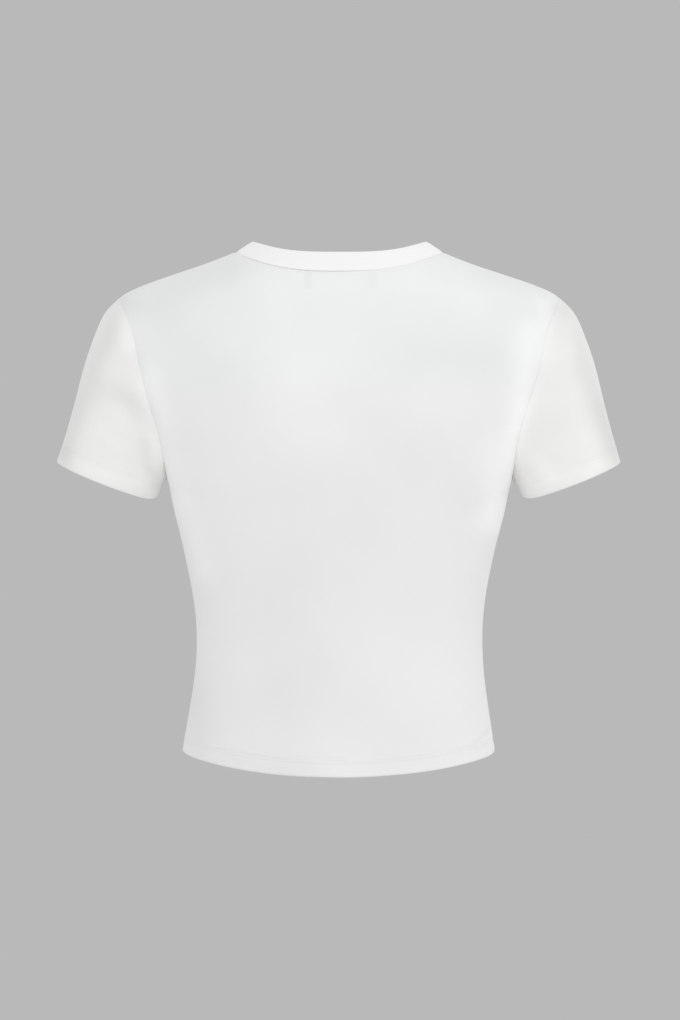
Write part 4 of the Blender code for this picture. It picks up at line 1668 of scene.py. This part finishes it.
@dataclass
class Garment:
    """The whole crop top."""

    PANEL_WALLS: ClassVar[tuple[str, ...]] = (
        "lower_left", "lower_right", "upper_left", "upper_right",
    )
    SLEEVE_WALLS: ClassVar[tuple[str, ...]] = ("upper_back", "upper_front", "under")
    back: Panel = field(default_factory=Panel.back)
    front: Panel = field(default_factory=Panel.front)
    left: Sleeve = field(default_factory=lambda: Sleeve(Hand.LEFT))
    right: Sleeve = field(default_factory=lambda: Sleeve(Hand.RIGHT))
    band: Neckband = field(default_factory=Neckband)
    label: NeckLabel = field(default_factory=NeckLabel)
    seams: InsideSeams = field(default_factory=InsideSeams)
    free_below_neck: int = 4
    needle_stitch: StitchSizes = StitchSizes(length=2.3, spacing=2.9, thread=0.11, arch=0.1)
    cover_stitch: StitchSizes = StitchSizes(
        length=3.3, spacing=1.45, thread=0.13, arch=0.3, turn=90, slant=34
    )
    overlock: StitchSizes = StitchSizes(
        length=4.6, spacing=1.9, thread=0.13, arch=0.5, turn=90, slant=16
    )
    body_tone: Colour = (0.8745, 0.8728, 0.8725)
    upper_tone: Colour = (0.8665, 0.8815, 0.8745)
    sleeve_tone: Colour = (0.885, 0.884, 0.868)
    band_tone: Colour = (0.953, 0.953, 0.953)

    def cut(self) -> None:
        """Draws every piece of cloth."""
        self.back.build()
        self.front.build()
        for piece in (self.left, self.right, self.band):
            piece.build(self.back, self.front)

    def inside(self) -> tuple[list[Net], list[Seam]]:
        """The strips inside all seams, and the lines of their overlock stitches."""
        nets, lines = [], []

        def add(net: Net, by_row: bool, at_end: bool, rows: slice, ring: bool = False) -> None:
            """Adds the strip beside one edge of a piece."""
            points, out = net.strip(by_row, at_end, self.seams.stations)
            points, out = points[rows], out[rows]
            nets.append(self.seams.strip(points, out, ring))
            lines.append((*self.seams.loops(points, out), ring))

        shoulder, armhole = self.back.shoulder_rows, self.back.armhole_rows
        for at_end in (False, True):
            below_armhole = slice(len(self.back.fold_rises), -shoulder - armhole)
            for rows in (below_armhole, slice(-shoulder, -self.free_below_neck)):
                add(self.back.net, True, at_end, rows)
        for sleeve in (self.left, self.right):
            add(sleeve.net, False, False, slice(None), ring=True)
        for panel in (self.back, self.front):
            add(panel.net, False, True, slice(None))
        return nets, lines

    def hem_line(self, rise: float, inside: bool) -> Seam:
        """The line round the whole hem at this height."""
        back, front = (panel.net.line_at(rise, inside) for panel in (self.back, self.front))
        points, ways = (np.concatenate([b, f[::-1]]) for b, f in zip(back, front))
        return points, ways, True

    def sew(self, thread: Material) -> list[Object]:
        """Sews the hem and the cuffs and overlocks the seams.

        Args:
            thread: The thread's finish.

        Returns:
            The strips and the stitches.
        """
        tree = StitchTree()
        strips, loops = self.inside()
        needles = [self.hem_line(rise, False) for rise in self.back.needle_rows]
        loopers = [self.hem_line(self.back.looper_row, True)]
        for sleeve in (self.left, self.right):
            needles += [(*sleeve.net.line_at(rise, False), True) for rise in sleeve.needle_rows]
            loopers.append((*sleeve.net.line_at(sleeve.looper_row, True), True))
        jersey = JerseyFinish("seam_jersey", self.body_tone).material()
        made = [make_mesh("inside_seams", strips, jersey)]
        for name, lines, sizes in (
            ("hem_needle_stitches", needles, self.needle_stitch),
            ("hem_cover_stitches", loopers, self.cover_stitch),
            ("overlock_stitches", loops, self.overlock),
        ):
            made.append(tree.sew(name, lines, sizes, thread))
        return [settle(piece) for piece in made]

    def make(self) -> dict[str, Object]:
        """Makes and dresses every piece, and ties it to the body.

        Returns:
            The pieces of cloth by name.
        """
        self.cut()
        body = JerseyFinish("body_jersey", self.body_tone, upper_tone=self.upper_tone)
        behind = replace(body, name="back_jersey", shadow=LabelShadow())
        arm = JerseyFinish("sleeve_jersey", self.sleeve_tone).material()
        band = JerseyFinish("band_jersey", self.band_tone, wale=0.8, course=0.6, sheen=0.1)
        made = {}
        for name, stem, net, material, walls in (
            ("back", "back", self.back.net, behind.material(), self.PANEL_WALLS),
            ("front", "front", self.front.net, body.material(), self.PANEL_WALLS),
            ("left_sleeve", "sleeve_left", self.left.net, arm, self.SLEEVE_WALLS),
            ("right_sleeve", "sleeve_right", self.right.net, arm, self.SLEEVE_WALLS),
        ):
            nodes = [f"{stem}_{wall}" for wall in walls]
            made[name] = settle(make_mesh(name, [net], material), nodes)
            net.report(name)
        collar = self.band.make("collar_band", band.material())
        made["collar_band"] = settle(collar, ["neckband"])
        tab = self.label.build(self.back.form, self.back.drape)
        label = make_mesh("blank_label", [tab], TapeFinish().material())
        made["blank_label"] = settle(label, ["neck_label"])
        sewn = self.sew(ThreadFinish().material())
        return made


@dataclass(frozen=True)
class SoftLight:
    """One large soft light, its place and aim in metres."""

    name: str
    place: Place
    aim: Place
    size: float
    power: float

    def make(self) -> None:
        """Adds the light to the scene."""
        light = bpy.data.lights.new(self.name, "AREA")
        light.shape = "DISK"
        light.size = self.size
        light.energy = self.power
        lamp = link_object(self.name, light)
        lamp.location = self.place
        way = Vector(self.aim) - Vector(self.place)
        lamp.rotation_euler = way.to_track_quat("-Z", "Y").to_euler()
        lamp.visible_camera = False


@dataclass(frozen=True)
class Studio:
    """A plain pale floor, an even grey room, soft lights and the camera."""

    grey: float = 0.485
    ambient: float = 0.84
    floor_height: float = -1.25
    floor_radius: float = 2.1
    floor_fades_from: float = 1.0
    floor_sides: int = 96
    floor_grey: float = 0.6
    floor_roughness: float = 0.9
    distance: float = 2.0
    eye_height: float = -0.2253
    eye_across: float = -0.0005
    lens: float = 80.67
    sensor: float = 36.0
    lights: tuple[SoftLight, ...] = (
        SoftLight("right_light", (-2.4, 0.5, 0.1), (0.0, 0.0, -0.2), 1.8, 3.2),
        SoftLight("right_back_light", (-1.9, 2.0, 0.9), (0.0, 0.0, -0.2), 1.8, 1.3),
        SoftLight("top_light", (-0.2, 0.7, 1.9), (0.0, 0.0, 0.0), 1.6, 1.5),
        SoftLight("behind_light", (-0.5, 2.7, -0.2), (0.0, 0.0, -0.25), 1.2, 3.8),
        SoftLight("low_light", (-0.4, 2.1, -1.3), (0.0, 0.0, -0.3), 1.6, 5.2),
        SoftLight("low_left_light", (1.3, 1.9, -1.2), (0.0, 0.0, -0.3), 1.2, 1.6),
        SoftLight("front_light", (-0.8, -2.6, 0.5), (0.0, 0.0, -0.2), 2.4, 5.0),
    )

    def room(self) -> None:
        """Fills the room with even light, in front of a plain grey wall."""
        world = bpy.data.worlds.new("studio")
        world.use_nodes = True
        t = Tree(world.node_tree)
        seen = t.add("ShaderNodeLightPath").outputs["Is Camera Ray"]
        levels = {"Value": seen, "To Min": self.ambient, "To Max": self.grey}
        light = {"Strength": t.add("ShaderNodeMapRange", levels), "Color": (1.0, 1.0, 1.0, 1.0)}
        t.feed(world.node_tree.nodes["Background"], light)
        bpy.context.scene.world = world
        bpy.context.scene.view_settings.view_transform = "Standard"

    def floor(self) -> None:
        """Lays the floor, which fades out towards its rim."""
        made = bmesh.new()
        bmesh.ops.create_circle(
            made, cap_ends=True, segments=self.floor_sides, radius=self.floor_radius
        )
        mesh = bpy.data.meshes.new("floor")
        made.to_mesh(mesh)
        made.free()
        mesh.transform(Matrix.Translation((0, 0, self.floor_height)))
        material, t, shader = Tree.of_material("pale_floor")
        flat = t.vector_math("MULTIPLY", {0: t.place(), 1: (1.0, 1.0, 0.0)})
        fading = {
            "Value": t.vector_math("LENGTH", {0: flat}).outputs["Value"],
            "From Min": self.floor_fades_from, "From Max": self.floor_radius,
            "To Min": 1.0, "To Max": 0.0,
        }
        fade = t.add("ShaderNodeMapRange", fading, interpolation_type="SMOOTHSTEP")
        grey = (self.floor_grey,) * 3 + (1.0,)
        t.feed(shader, {"Base Color": grey, "Roughness": self.floor_roughness, "Alpha": fade})
        mesh.materials.append(material)
        link_object("floor", mesh)

    def camera(self) -> None:
        """Places the camera level behind the garment."""
        camera = bpy.data.cameras.new("camera")
        camera.lens = self.lens
        camera.sensor_width = self.sensor
        camera.sensor_fit = "AUTO"
        camera.dof.use_dof = False
        holder = link_object("camera", camera)
        holder.location = (self.eye_across, self.distance, self.eye_height)
        holder.rotation_euler = (math.radians(90), 0.0, math.radians(180))
        bpy.context.scene.camera = holder

    def make(self) -> None:
        """Sets up the whole studio."""
        self.room()
        self.floor()
        self.camera()
        for light in self.lights:
            light.make()


def main() -> None:
    """Builds the crop top and its studio."""
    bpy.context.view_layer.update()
    Studio().make()
    Garment().make()


if __name__ == "__main__":
    main()
